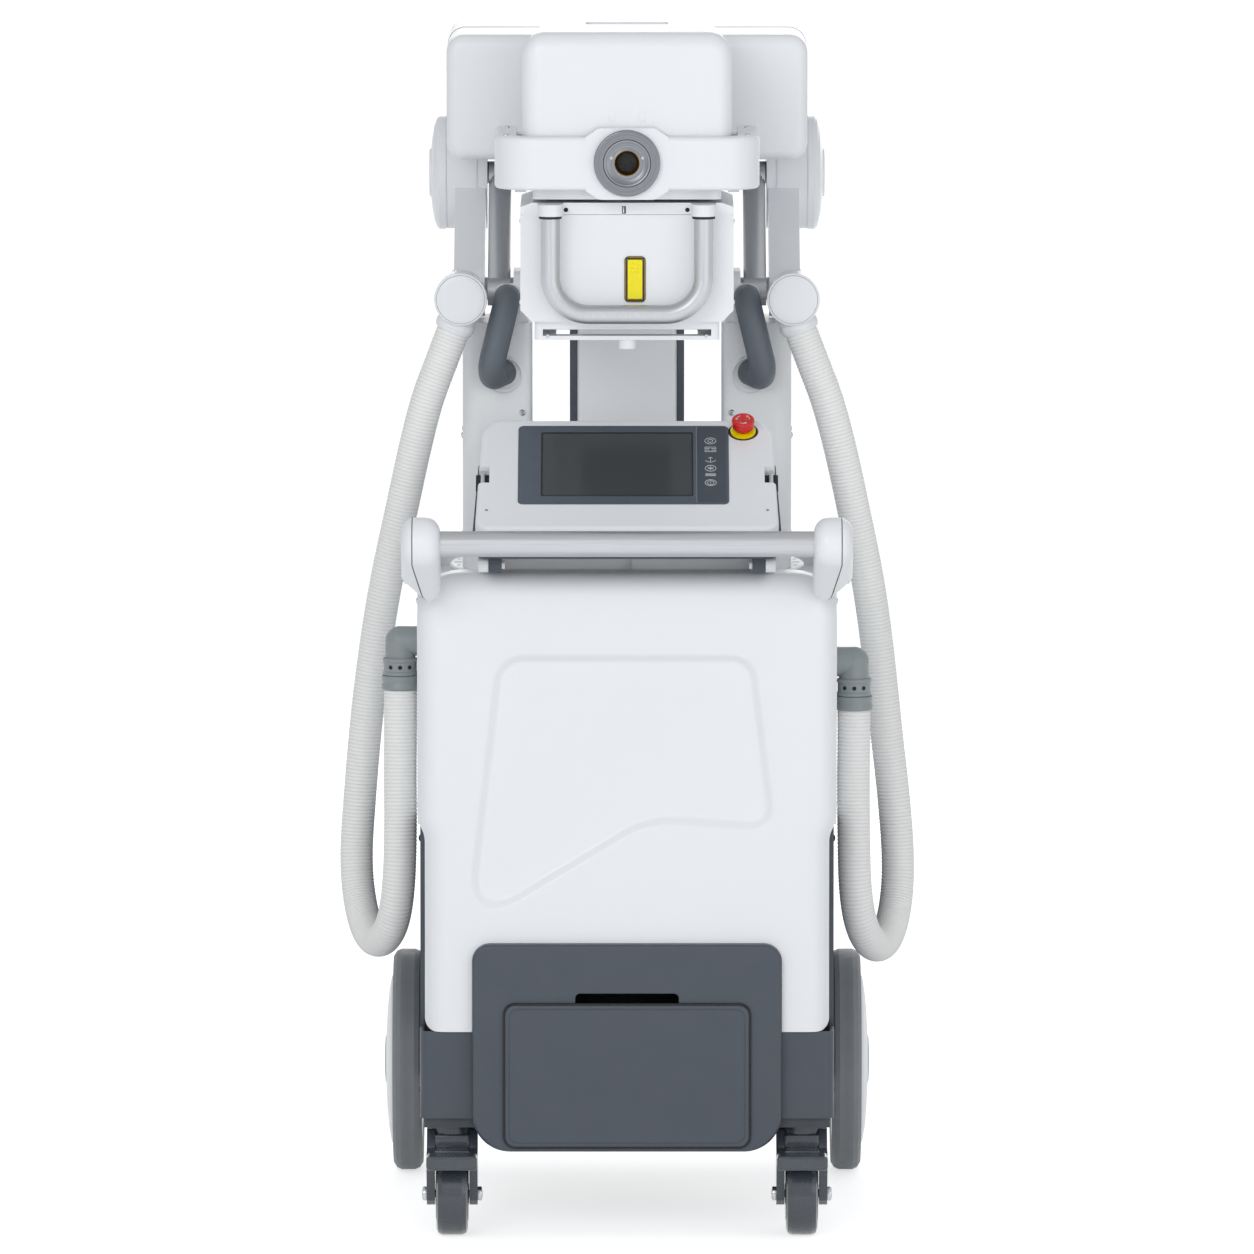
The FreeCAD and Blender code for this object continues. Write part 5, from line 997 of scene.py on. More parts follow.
class XRAY_OT_head_details(bpy.types.Operator):
    """Makes the oval caps, the dished end disc, the bore's seat, a floor of painted shade in the bore, and
    the band's screws
    """

    bl_idname = "xray.head_details"
    bl_label = "Head details"

    def execute(self, context):
        self.oval_caps()
        self.end_disc()
        self.band_screws()
        return {"FINISHED"}

    def oval_caps(self):
        caps = []
        for x in (-OVAL_CAP_X, OVAL_CAP_X):
            low = (x - OVAL_CAP_HALF_WIDTH, OVAL_CAP_LOW)
            high = (x + OVAL_CAP_HALF_WIDTH, OVAL_CAP_HIGH)
            outline = rounded_loop("XZ", HEAD_FRONT + 0.5, low, high, 4.5, 6)
            cap = plate_piece("oval_cap", outline, Vector((0, -mm(1.3), 0)))
            soften_edges(cap, mm(0.5), 2, border_towards((0, -1, 0)))
            slot = box_piece("slot", (x - 0.7, HEAD_FRONT - 2, 1363.5), (x + 0.7, HEAD_FRONT - 0.3, 1372.0))
            cut(cap, slot)
            caps.append(cap)
        finish_piece(joined("head_oval_caps", caps), "head", "white_abs")

    def end_disc(self):
        ring_low, ring_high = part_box("trunnion_ring")
        bush_low, bush_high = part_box("trunnion_bush")
        centre = Vector((0, bush_low.y, mm(ROLL_Z)))
        rise = (bush_low.y - ring_low.y) * 1000
        turned_part(
            "dished_end_disc", centre, (0, -1, 0),
            [(0.1, 14.9), (1.2, 15.0), (1.2, 16.2), (0.7, 17.4), (1.4, 22.0), (3.2, 25.6), (3.6, 26.2),
             (3.6, 28.2), (0.1, 28.2)], 96,
            "head", "turned_steel",
        )
        turned_part(
            "bore_seat", centre, (0, -1, 0),
            [(-14, 11.2), (-4.9, 12.3), (1.0, 14.5), (1.4, 14.9), (1.2, 15.4), (-0.2, 15.6), (-4.6, 13.2),
             (-14, 12.4)], 96,
            "head", "brass",
        )
        # Painted shade: a near-black floor and short wall at the bottom of the bore, so the hole reads dark.
        turned_part(
            "bore_floor", centre, (0, -1, 0),
            [(-15.5, 0), (-15.5, 12.4), (-13.6, 12.4), (-13.8, 10.6), (-14.2, 0)], 64,
            "head", "seal_and_painted_shade",
        )
        turned_part(
            "end_ring_seal", centre, (0, -1, 0),
            [(0.1, 28.0), (rise - 2.2, 28.2), (rise - 1.6, 29.0), (0.1, 29.4)], 96,
            "head", "seal_and_painted_shade",
        )
        pins = [centre + Vector((mm(19) * s, -mm(1.0), mm(6.5))) for s in (-1, 1)]
        screw = slotted_screw("disc_screw", mm(1.9))
        fasteners("end_disc_screws", screw, pins, (0, -1, 0), "head", "plated")
        discard(screw)
        turned_part(
            "end_ring_step", Vector((0, ring_low.y, mm(ROLL_Z))), (0, -1, 0),
            [(-0.6, 33.2), (0.35, 33.6), (0.35, 35.8), (-0.6, 36.2)], 96,
            "head", "turned_steel",
        )

    def band_screws(self):
        screw = socket_screw("band_screw", mm(3.6))
        places = [at(x, y, BAND_TOP) for x in (-146, 146) for y in (-292, -158)]
        fasteners("band_screws", screw, places, (0, 0, 1), "head", "plated")
        discard(screw)


# Beam limiter

LIMITER_FRONT = -290.0
LIMITER_SIDE = 129.0
FLANGE_Z = 1254.0
HANDLE_LEG_X = 92.5
HANDLE_LEG_Y = -320.0
HANDLE_SEAL_Z = 1245.3
WINDOW_LOW = 1120.5
WINDOW_REACH = 54.0
WINDOW_Y = -190.0
RAIL_SCREW_Z = 1100.2


class XRAY_OT_limiter_details(bpy.types.Operator):
    """Makes the key's bezel, the screws, the handle's seals, the window and the rail's fittings"""

    bl_idname = "xray.limiter_details"
    bl_label = "Beam limiter details"

    def execute(self, context):
        self.screws()
        self.key_bezel()
        self.handle_seals()
        self.window()
        self.rail_fittings()
        return {"FINISHED"}

    def screws(self):
        small = socket_screw("flange_screw", mm(2.7))
        front = LIMITER_FRONT - 3.1
        places = [at(x, front, FLANGE_Z) for x in (-73.7, 73.0)]
        fasteners("flange_screws", small, places, (0, -1, 0), "limiter", "seal_and_painted_shade")
        side = socket_screw("side_screw", mm(3.0))
        for sign in (-1, 1):
            places = [at(sign * LIMITER_SIDE, y, z) for y in (-262, -118) for z in (1238, 1140)]
            fasteners("limiter_side_screws_" + str(sign + 1), side, places, (sign, 0, 0), "limiter", "plated")
        corner = slotted_screw("corner_screw", mm(4.2))
        places = [at(-120.5, LIMITER_FRONT + 2.5, 1255), at(120.5, LIMITER_FRONT + 2.5, 1255)]
        fasteners("corner_screws", corner, places, (0, -1, 0.25), "limiter", "brass")
        discard(small, side, corner)
        # Painted shade: a near-black box where the catch's slot goes in, with the plated tongue in front of
        # it.
        catch = soft_box("catch_slot", (-6.0, front - 0.4, 1249.5), (-1.4, front + 0.6, 1258.5), mm(0.3), 2)
        finish_piece(catch, "limiter", "seal_and_painted_shade")
        tongue = soft_box("catch_tongue", (-5.0, front - 0.9, 1250.3), (-3.3, front, 1257.7), mm(0.25), 2)
        finish_piece(tongue, "limiter", "plated")

    def key_bezel(self):
        low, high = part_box("lamp_button")
        middle = (low + high) / 2
        middle.y = mm(LIMITER_FRONT + ORIGIN_SHIFT - 3.0)
        width = high.x - low.x
        height = high.z - low.z
        layers = [
            ("key_bezel", "seal_and_painted_shade", mm(3.8), mm(0.6), mm(1.4)),
            ("key_bezel_rim", "brass", mm(2.9), mm(1.9), mm(1.7)),
        ]
        signs = [(-1, -1), (1, -1), (1, 1), (-1, 1)]
        for name, finish, edge, gap, proud in layers:
            across = width / 2 + edge
            up = height / 2 + edge
            corners = [middle + Vector((a * across, 0, b * up)) for a, b in signs]
            plate = plate_piece(name, corners, Vector((0, -proud, 0)), mm(1.2) + edge)
            cut(plate, cuboid("hole", middle, (width + 2 * gap, mm(20), height + 2 * gap)))
            finish_piece(plate, "limiter", finish)
        ridges = []
        for i in range(3):
            place = Vector((middle.x, low.y, low.z + height * (0.68 + 0.1 * i)))
            ridge = cuboid("ridge", place, (mm(9), mm(1.4), mm(1.6)))
            soften_edges(ridge, mm(0.45), 3)
            ridges.append(ridge)
        finish_piece(joined("key_ridges", ridges), "lamp_key", "yellow_plastic")

    def handle_seals(self):
        seals = []
        for x in (-HANDLE_LEG_X, HANDLE_LEG_X):
            seal_and_painted_shade = turned_piece(
                "handle_seal", at(x, HANDLE_LEG_Y, HANDLE_SEAL_Z), (0, 0, 1),
                [(0, 11.3), (0, 13.2), (0.6, 13.8), (2.6, 13.8), (3.2, 13.2), (3.2, 11.3)], 48,
            )
            seals.append(seal_and_painted_shade)
        finish_piece(joined("handle_seals", seals), "limiter", "seal_and_painted_shade")

    def window(self):
        low = (-WINDOW_REACH, WINDOW_Y - WINDOW_REACH, WINDOW_LOW)
        high = (WINDOW_REACH, WINDOW_Y + WINDOW_REACH, WINDOW_LOW + 1.5)
        pane = soft_box("beam_window", low, high, mm(0.4), 2)
        finish_piece(pane, "limiter", "screen_glass")
        lines = []
        for x, y in ((WINDOW_REACH, 0), (0, WINDOW_REACH)):
            ends = [at(s * x, WINDOW_Y + s * y, WINDOW_LOW - 0.1) for s in (-1, 1)]
            lines.append(wire_piece("cross", ends, mm(0.4), 6))
        finish_piece(joined("window_cross", lines), "limiter", "ink")

    def rail_fittings(self):
        screw = socket_screw("rail_screw", mm(2.2))
        places = [at(x, LIMITER_FRONT + 12.0, RAIL_SCREW_Z) for x in (-96, 96)]
        fasteners("rail_screws", screw, places, (0, -1, 0), "limiter", "plated")
        discard(screw)


# Arm

class XRAY_OT_arm_details(bpy.types.Operator):
    """Makes the hub discs, the shoulder caps and the housing's parting line"""

    bl_idname = "xray.arm_details"
    bl_label = "Arm details"

    def execute(self, context):
        self.hub_discs()
        self.shoulder_caps()
        loop = rounded_loop("XZ", 150.0, (-222, 1294), (222, 1448), 22)
        surface_line("forearm_parting_line", "forearm_housing", loop, mm(0.55), "forearm")
        return {"FINISHED"}

    def hub_discs(self):
        for side, sign in SIDES.items():
            low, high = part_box("hub_cap_" + side)
            outer = high.x if sign > 0 else low.x
            centre = Vector((outer, (low.y + high.y) / 2, (low.z + high.z) / 2))
            turned_part(
                "hub_disc_" + side, centre, (sign, 0, 0),
                [(-2.0, 0), (-2.0, 30), (0.2, 29.8), (0.8, 28.8), (1.1, 20), (1.4, 10), (1.5, 0)], 96,
                "lower_arm", "white_abs",
            )

    def shoulder_caps(self):
        for side, sign in SIDES.items():
            turned_part(
                "shoulder_cap_" + side, at(sign * 214.0, COLUMN_Y, SHOULDER_Z), (sign, 0, 0),
                [(-0.5, 0), (-0.5, 24), (0.8, 24), (2.4, 22.4), (3.0, 16), (3.2, 0)], 64,
                "lower_arm", "white_abs",
            )


# Column

COLUMN_LOW = 787.0
COLUMN_HIGH = 1087.5
TOWER_SIDE = 203.0
GRIP_X = 152.0
GRIP_Z = 1026.0
DRUM_X = 204.0
TURNTABLE_MARK_RADIUS = 214.0


class XRAY_OT_column_details(bpy.types.Operator):
    """Makes the strips, tower screws, grip rings, drum faces and turntable marks of the column"""

    bl_idname = "xray.column_details"
    bl_label = "Column details"

    def execute(self, context):
        self.side_strips()
        self.tower_screws()
        self.grip_rings()
        self.drum_rims()
        self.turn_marks()
        return {"FINISHED"}

    def side_strips(self):
        strips = []
        for sign in (-1, 1):
            x = sorted((sign * 61.2, sign * 70.6))
            strip = box_piece("strip", (x[0], 38.2, COLUMN_LOW), (x[1], 74, COLUMN_HIGH))
            soften_edges(strip, mm(1.2), 3, upright)
            strips.append(strip)
        finish_piece(joined("column_side_strips", strips), "column", "slate_plastic")

    def tower_screws(self):
        screw = socket_screw("tower_screw", mm(4.0))
        for side, sign in SIDES.items():
            front = [at(sign * 129, TOWER_FRONT, z) for z in (980, 850)]
            fasteners("tower_front_screws_" + side, screw, front, (0, -1, 0), "column", "plated")
            flank = [at(sign * TOWER_SIDE, y, z) for y in (44, 132) for z in (820, 950, 1068)]
            fasteners("tower_side_screws_" + side, screw, flank, (sign, 0, 0), "column", "plated")
        discard(screw)

    def grip_rings(self):
        for side, sign in SIDES.items():
            turned_part(
                "grip_ring_" + side, at(sign * GRIP_X, TOWER_FRONT, GRIP_Z), (0, -1, 0),
                [(-0.4, 20.8), (0.9, 21.2), (1.4, 22.4), (0.9, 23.6), (-0.4, 24.0)], 64,
                "column", "cool_grey_paint",
            )

    def drum_rims(self):
        for side, sign in SIDES.items():
            centre = Vector((mm(DRUM_X) * sign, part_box("hose_drum_" + side)[0].y, mm(SHOULDER_Z)))
            turned_part(
                "drum_face_" + side, centre, (0, -1, 0),
                [(-0.6, 0), (-0.6, 29.4), (0.2, 29.4), (0.7, 28.6), (1.0, 22), (1.1, 0)], 96,
                "column", "white_abs",
            )
            turned_part(
                "drum_groove_" + side, centre, (0, -1, 0),
                [(-0.5, 29.2), (0.1, 29.4), (0.1, 30.0), (-0.5, 30.2)], 96,
                "column", "fitting_grey",
            )
            start = at(*HOSE_POINTS[side][0])
            along = (start - at(*HOSE_POINTS[side][1])).normalized()
            turned_part(
                "drum_outlet_band_" + side, start + along * mm(3), along,
                [(0, 22.4), (0, 23.6), (0.8, 24.2), (8.2, 24.2), (9, 23.6), (9, 22.4)], 64,
                "column", "white_abs",
            )

    def turn_marks(self):
        marks = []
        for i in range(36):
            turn = math.radians(10 * i)
            size = 9 if i % 9 == 0 else 5
            out = Vector((math.cos(turn), math.sin(turn), 0))
            top = Vector((0, mm(COLUMN_Y + ORIGIN_SHIFT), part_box("turntable_plate")[1].z + mm(0.05)))
            ends = [top + out * mm(TURNTABLE_MARK_RADIUS), top + out * mm(TURNTABLE_MARK_RADIUS - size)]
            marks.append(wire_piece("mark", ends, mm(0.45), 4))
        finish_piece(joined("turntable_marks", marks), "column", "slate_plastic")


# Console

CONSOLE_SLOPE = math.radians(30.3)
CONSOLE_EDGE_Y = -352.0
CONSOLE_EDGE_Z = 873.5
# Corners on the face, across and up the slope
KEYPAD_LOW = (85.5, 52.0)
KEYPAD_HIGH = (120.5, 208.0)
KEYPAD_LINE_X = 84.6
ICON_X = 101.5
SCREEN_FRAME_LOW = (-104.5, 64.5)
SCREEN_FRAME_HIGH = (80.5, 197.5)
SCREEN_FRAME_WIDTH = 2.0
LATCH = ((177.5, 98.0), (172.5, 124.0), -11.0)
LATCH_WELL = ((183.5, 94.5), (167.2, 127.5), -13.8)
# Where the stop button stands on the console's face, across and up the slope
STOP_X = 141.5
STOP_UP = 200.0


def console_place(x, v, lift=0.0):
    """A place on the console's sloping face: across, up the slope, and out of it, in millimetres."""
    y = CONSOLE_EDGE_Y + v * math.cos(CONSOLE_SLOPE) - lift * math.sin(CONSOLE_SLOPE)
    z = CONSOLE_EDGE_Z + v * math.sin(CONSOLE_SLOPE) + lift * math.cos(CONSOLE_SLOPE)
    return at(x, y, z)


CONSOLE_NORMAL = Vector((0, -math.sin(CONSOLE_SLOPE), math.cos(CONSOLE_SLOPE)))


def console_loop(low, high, radius, lift, steps=5):
    """Places round a rounded rectangle that lies on the console's face."""
    flat = rounded_loop("XY", 0, low, high, radius, steps)
    return [console_place(p.x * 1000, p.y * 1000 - ORIGIN_SHIFT, lift) for p in flat]


class XRAY_OT_console_details(bpy.types.Operator):
    """Makes the keypad with its icons, the screen's frame, the latches and the stop button with its ring"""

    bl_idname = "xray.console_details"
    bl_label = "Console details"

    def execute(self, context):
        self.keypad()
        self.icons()
        self.screen_frame()
        self.latches()
        self.stop_ring()
        self.stop_button()
        return {"FINISHED"}

    def keypad(self):
        outline = console_loop(KEYPAD_LOW, KEYPAD_HIGH, 3, 0.95)
        film = plate_piece("keypad_film", outline, CONSOLE_NORMAL * mm(0.3))
        finish_piece(film, "console", "slate_plastic")
        ends = [console_place(KEYPAD_LINE_X, v, 1.0) for v in (KEYPAD_LOW[1], KEYPAD_HIGH[1])]
        line = wire_piece("keypad_edge_line", ends, mm(0.35))
        finish_piece(line, "console", "fitting_grey")
        dots = slotted_screw("console_screw", mm(2.0))
        places = [console_place(x, 37, -0.1) for x in (-170, 170)]
        fasteners("console_screws", dots, places, CONSOLE_NORMAL, "console", "fitting_grey")
        discard(dots)

    def icons(self):
        """Generic key marks: an eye, a card, a dial, a fan, a bar and a ring."""
        radius = sizes().icon_line
        lift = 1.3
        strokes = []

        def stroke(points, closed=False):
            places = [console_place(ICON_X + a, b, lift) for a, b in points]
            strokes.append(wire_piece("stroke", places, radius, 4, closed))

        def ring(v, half_width, half_height, steps=20):
            turns = [2 * math.pi * i / steps for i in range(steps)]
            stroke([(half_width * math.cos(t), v + half_height * math.sin(t)) for t in turns], True)

        ring(179, 6.8, 6.2)
        ring(179, 3.2, 2.8, 12)
        for y in (163, 159.5):
            stroke([(-6, y), (-1, y)])
            stroke([(1, y), (6, y)])
        stroke([(-6.6, 166), (6.6, 166), (6.6, 156.5), (-6.6, 156.5)], True)
        stroke([(6.4 * math.cos(math.radians(200 + 14 * i)), 141 + 6.2 * math.sin(math.radians(200 + 14 * i)))
                for i in range(11)])
        stroke([(0, 136), (0, 145)])
        stroke([(-2.5, 142.5), (0, 145), (2.5, 142.5)])
        ring(122, 6.6, 6.2)
        for turn in (30, 90, 150):
            c = 4.4 * math.cos(math.radians(turn))
            s = 4.4 * math.sin(math.radians(turn))
            stroke([(-c, 122 - s), (c, 122 + s)])
        for y in (106.5, 108.5, 110.5):
            stroke([(-6.4, y), (6.4, y)])
        ring(92, 6.8, 6.2)
        ring(92, 4.2, 3.8, 14)
        stroke([(0, 90.5), (0, 93.5)])
        finish_piece(joined("keypad_icons", strokes), "console", "ink")

    def screen_frame(self):
        outer = console_loop(SCREEN_FRAME_LOW, SCREEN_FRAME_HIGH, 2.0, 0.55, 3)
        plate = plate_piece("screen_frame", outer, CONSOLE_NORMAL * mm(0.5))
        low = [value + SCREEN_FRAME_WIDTH for value in SCREEN_FRAME_LOW]
        high = [value - SCREEN_FRAME_WIDTH for value in SCREEN_FRAME_HIGH]
        inner = console_loop(low, high, 1.2, -2.0, 3)
        hole = plate_piece("screen_hole", inner, CONSOLE_NORMAL * mm(8))
        cut(plate, hole)
        finish_piece(plate, "console", "seal_and_painted_shade")

    def slab(self, name, sign, corners, thickness):
        """A plate between two corners beside the face, sunk into it."""
        (outer, low), (inner, high), lift = corners
        outline = [(outer, low), (inner, low), (inner, high), (outer, high)]
        places = [console_place(sign * x, v, lift) for x, v in outline]
        return plate_piece(name, places, CONSOLE_NORMAL * mm(thickness))

    def latches(self):
        for side, sign in SIDES.items():
            latch = self.slab("console_latch_" + side, sign, LATCH, 7)
            soften_edges(latch, mm(0.8), 2)
            finish_piece(latch, "console", "plated")
            # Painted shade: a thin near-black plate on the floor of the well round each latch.
            floor = self.slab("latch_well_" + side, sign, LATCH_WELL, 0.8)
            finish_piece(floor, "console", "seal_and_painted_shade")

    def stop_ring(self):
        turned_part(
            "stop_recess_ring", console_place(STOP_X, STOP_UP), CONSOLE_NORMAL,
            [(-0.4, 15.6), (0.3, 15.8), (0.7, 17.2), (0.3, 18.4), (-0.4, 18.8)], 64,
            "console", "seal_and_painted_shade",
        )

    def stop_button(self):
        """A mushroom button with a waist and a dished top; the CAD one is taller than the photo's."""
        cap = turned_part(
            "stop_mushroom", console_place(STOP_X, STOP_UP), CONSOLE_NORMAL,
            [(-2.5, 0), (-2.5, 7.8), (6.6, 7.8), (6.6, 12.2), (7.4, 12.9), (11.5, 13.0), (15.0, 13.7),
             (17.2, 13.9), (18.3, 13.3), (18.8, 11.8), (18.5, 9.8), (18.2, 6.0), (18.1, 0)], 96,
            "stop_button", "red_plastic", 50,
        )
        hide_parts("estop_button")
        face = console_place(STOP_X, STOP_UP, 18.5)
        across = Vector((1, 0, 0))
        up = CONSOLE_NORMAL.cross(across)
        marks = []
        for i in range(3):
            arc = []
            for k in range(7):
                turn = math.radians(120 * i + 10 * k)
                arc.append(face + (across * math.cos(turn) + up * math.sin(turn)) * mm(8.2))
            marks.append(wire_piece("arc", arc, mm(0.4), 4))
            tip = arc[-1]
            out = (tip - face).normalized()
            back = (arc[-2] - arc[-1]).normalized()
            ends = [tip + (out + back) * mm(1.6), tip, tip + (back - out) * mm(1.6)]
            marks.append(wire_piece("tip", ends, mm(0.4), 4))
        finish_piece(joined("stop_turn_marks", marks), "stop_button", "ink")


# Push handle

POD_X = 258.5
POD_LOW_Y = -340.0
POD_LOW_Z = 812.0
POD_TAPER = 0.42


class XRAY_OT_handle_details(bpy.types.Operator):
    """Makes the pods' parting lines, the bar's end rings and the pivots' caps"""

    bl_idname = "xray.handle_details"
    bl_label = "Push handle details"

    def execute(self, context):
        for side, sign in SIDES.items():
            places = []
            for i in range(13):
                turn = math.radians(50 + 180 * i / 12)
                y, z = BAR_Y + 32 * math.cos(turn), BAR_Z + 32 * math.sin(turn)
                places.append(at(sign * POD_X, y, z))
            for i in range(13):
                turn = math.radians(230 + 180 * i / 12)
                y, z = POD_LOW_Y + 29 * math.cos(turn), POD_LOW_Z + 29 * math.sin(turn)
                x = POD_X - max(0.0, 818 - z) * POD_TAPER
                places.append(at(sign * x, y, z))
            surface_line(
                "pod_parting_line_" + side, "pod_" + side, places, mm(0.6), "push_handle", subdivisions=6
            )
            turned_part(
                "bar_end_ring_" + side, at(sign * 229.5, BAR_Y, BAR_Z), (-sign, 0, 0),
                [(0, 15.3), (0, 16.1), (1.0, 16.1), (1.4, 15.8), (1.4, 15.3)], 64,
                "push_handle", "seal_and_painted_shade",
            )
            turned_part(
                "handle_pivot_cap_" + side, at(sign * 269.6, -222, 814), (sign, 0, 0),
                [(-0.5, 0), (-0.5, 13), (0.8, 13), (1.9, 12), (2.3, 8), (2.4, 0)], 48,
                "push_handle", "white_abs",
            )
        return {"FINISHED"}


# Front cover

COVER_FACE = -302.0
COVER_DEPTH = 60.0
COVER_ROLL = 28.0
COVER_WALL = 12.0
COVER_LOW = 253.0
COVER_HIGH = 812.0
COVER_WIDE = 255.0
COVER_NARROW = 246.0
COVER_STEP = 500.0
OPENING_HALF_WIDTH = 188.3
OPENING_TOP = 361.8
# The recess's rim on the cover's face, across and up, and how far each corner's rounding reaches
RECESS_RIM = [(-158.3, 714.0), (-197.8, 372.6), (26.5, 508.7), (181.3, 498.9), (155.2, 714.0)]
RECESS_REACHES = [32.0, 80.0, 30.0, 34.0, 28.0]
RECESS_BAND = 8.8
RECESS_DEPTH = 8.0


class XRAY_OT_front_cover(bpy.types.Operator):
    """Makes the front cover with its wide rolled edge and the recess pressed into its face"""

    bl_idname = "xray.front_cover"
    bl_label = "Front cover"

    def execute(self, context):
        shell = self.block("front_cover_shell", 0, COVER_LOW - 80, COVER_FACE, 52)
        soften_edges(shell, mm(COVER_ROLL), 10, border_towards((0, -1, 0)))
        cut(shell, self.upper_part(), "INTERSECT")
        cut(shell, self.block("inside", COVER_WALL, COVER_LOW + 7, COVER_FACE + COVER_WALL, 40))
        cut(shell, self.drawer_opening())
        cut(shell, self.recess())
        soften_edges(shell, mm(2.5), 3, self.rim_edge)
        finish_piece(shell, "chassis", "white_abs", 30)
        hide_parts("front_cover")
        return {"FINISHED"}

    def block(self, name, inset, low, front, reach):
        """The cover's outline, wide above and stepped in below, as a thick block."""
        narrow = COVER_NARROW - inset
        wide = COVER_WIDE - inset
        high = COVER_HIGH - inset
        corners = [
            (-narrow, low), (narrow, low), (narrow, COVER_STEP - 10), (wide, COVER_STEP + 10),
            (wide, high), (-wide, high), (-wide, COVER_STEP + 10), (-narrow, COVER_STEP - 10),
        ]
        places = [at(x, front, z) for x, z in corners]
        reaches = [mm(value) for value in (reach, reach, 6.4, 6.4, reach, reach, 6.4, 6.4)]
        depth = Vector((0, mm(COVER_FACE + COVER_DEPTH - front), 0))
        return plate_piece(name, places, depth, reaches=reaches)

    def upper_part(self):
        """What is kept of the block: all above the cover's lower edge, with its two small round corners."""
        side = COVER_NARROW + 0.05
        past = COVER_WIDE + 9
        over = COVER_HIGH + 9
        corners = [
            (-side, COVER_LOW), (side, COVER_LOW), (side, COVER_STEP - 20), (past, COVER_STEP),
            (past, over), (-past, over), (-past, COVER_STEP), (-side, COVER_STEP - 20),
        ]
        places = [at(x, COVER_FACE - 9, z) for x, z in corners]
        reaches = [mm(value) for value in (15, 15, 0, 0, 0, 0, 0, 0)]
        return plate_piece("upper_part", places, Vector((0, mm(COVER_DEPTH + 18), 0)), reaches=reaches)

    def drawer_opening(self):
        half = OPENING_HALF_WIDTH
        corners = [(-half, 230), (half, 230), (half, OPENING_TOP), (-half, OPENING_TOP)]
        places = [at(x, COVER_FACE - 9, z) for x, z in corners]
        reaches = [0, 0, mm(22), mm(22)]
        return plate_piece("drawer_opening", places, Vector((0, mm(COVER_DEPTH + 18), 0)), reaches=reaches)

    def recess(self):
        """The shape pressed in: a plate with a chamfered far edge, flattened to the recess's depth."""
        places = [at(x, COVER_FACE - 2, z) for x, z in RECESS_RIM]
        reaches = [mm(value) for value in RECESS_REACHES]
        depth = Vector((0, mm(2 + RECESS_BAND), 0))
        tool = plate_piece("recess", places, depth, reaches=reaches, segments=12)
        far_edge = border_towards((0, 1, 0))
        soften_edges(tool, mm(RECESS_BAND + 0.2), 1, far_edge)
        edit(tool)
        flatten = (1, RECESS_DEPTH / RECESS_BAND, 1)
        bpy.ops.transform.resize(value=flatten, center_override=at(0, COVER_FACE, 0))
        leave_edit()
        return soften_edges(tool, mm(3), 3, far_edge)

    def rim_edge(self, edge):
        """A test for the edges where the recess leaves the cover's face."""
        middle = (edge.verts[0].co + edge.verts[1].co) / 2
        flat = [face for face in edge.link_faces if face.normal.y < -0.999]
        on_face = abs(middle.y - at(0, COVER_FACE, 0).y) < 1e-4
        return len(flat) == 1 and on_face and abs(middle.x) < mm(200) and mm(390) < middle.z < mm(725)


# Body

UPPER_SIDE = 255.0
LOWER_SIDE = 252.0
INLET = ((-176, 214), (-112, 262))
BREAKER = ((112, 214), (146, 262))
DRAWER_FACE = -320.4


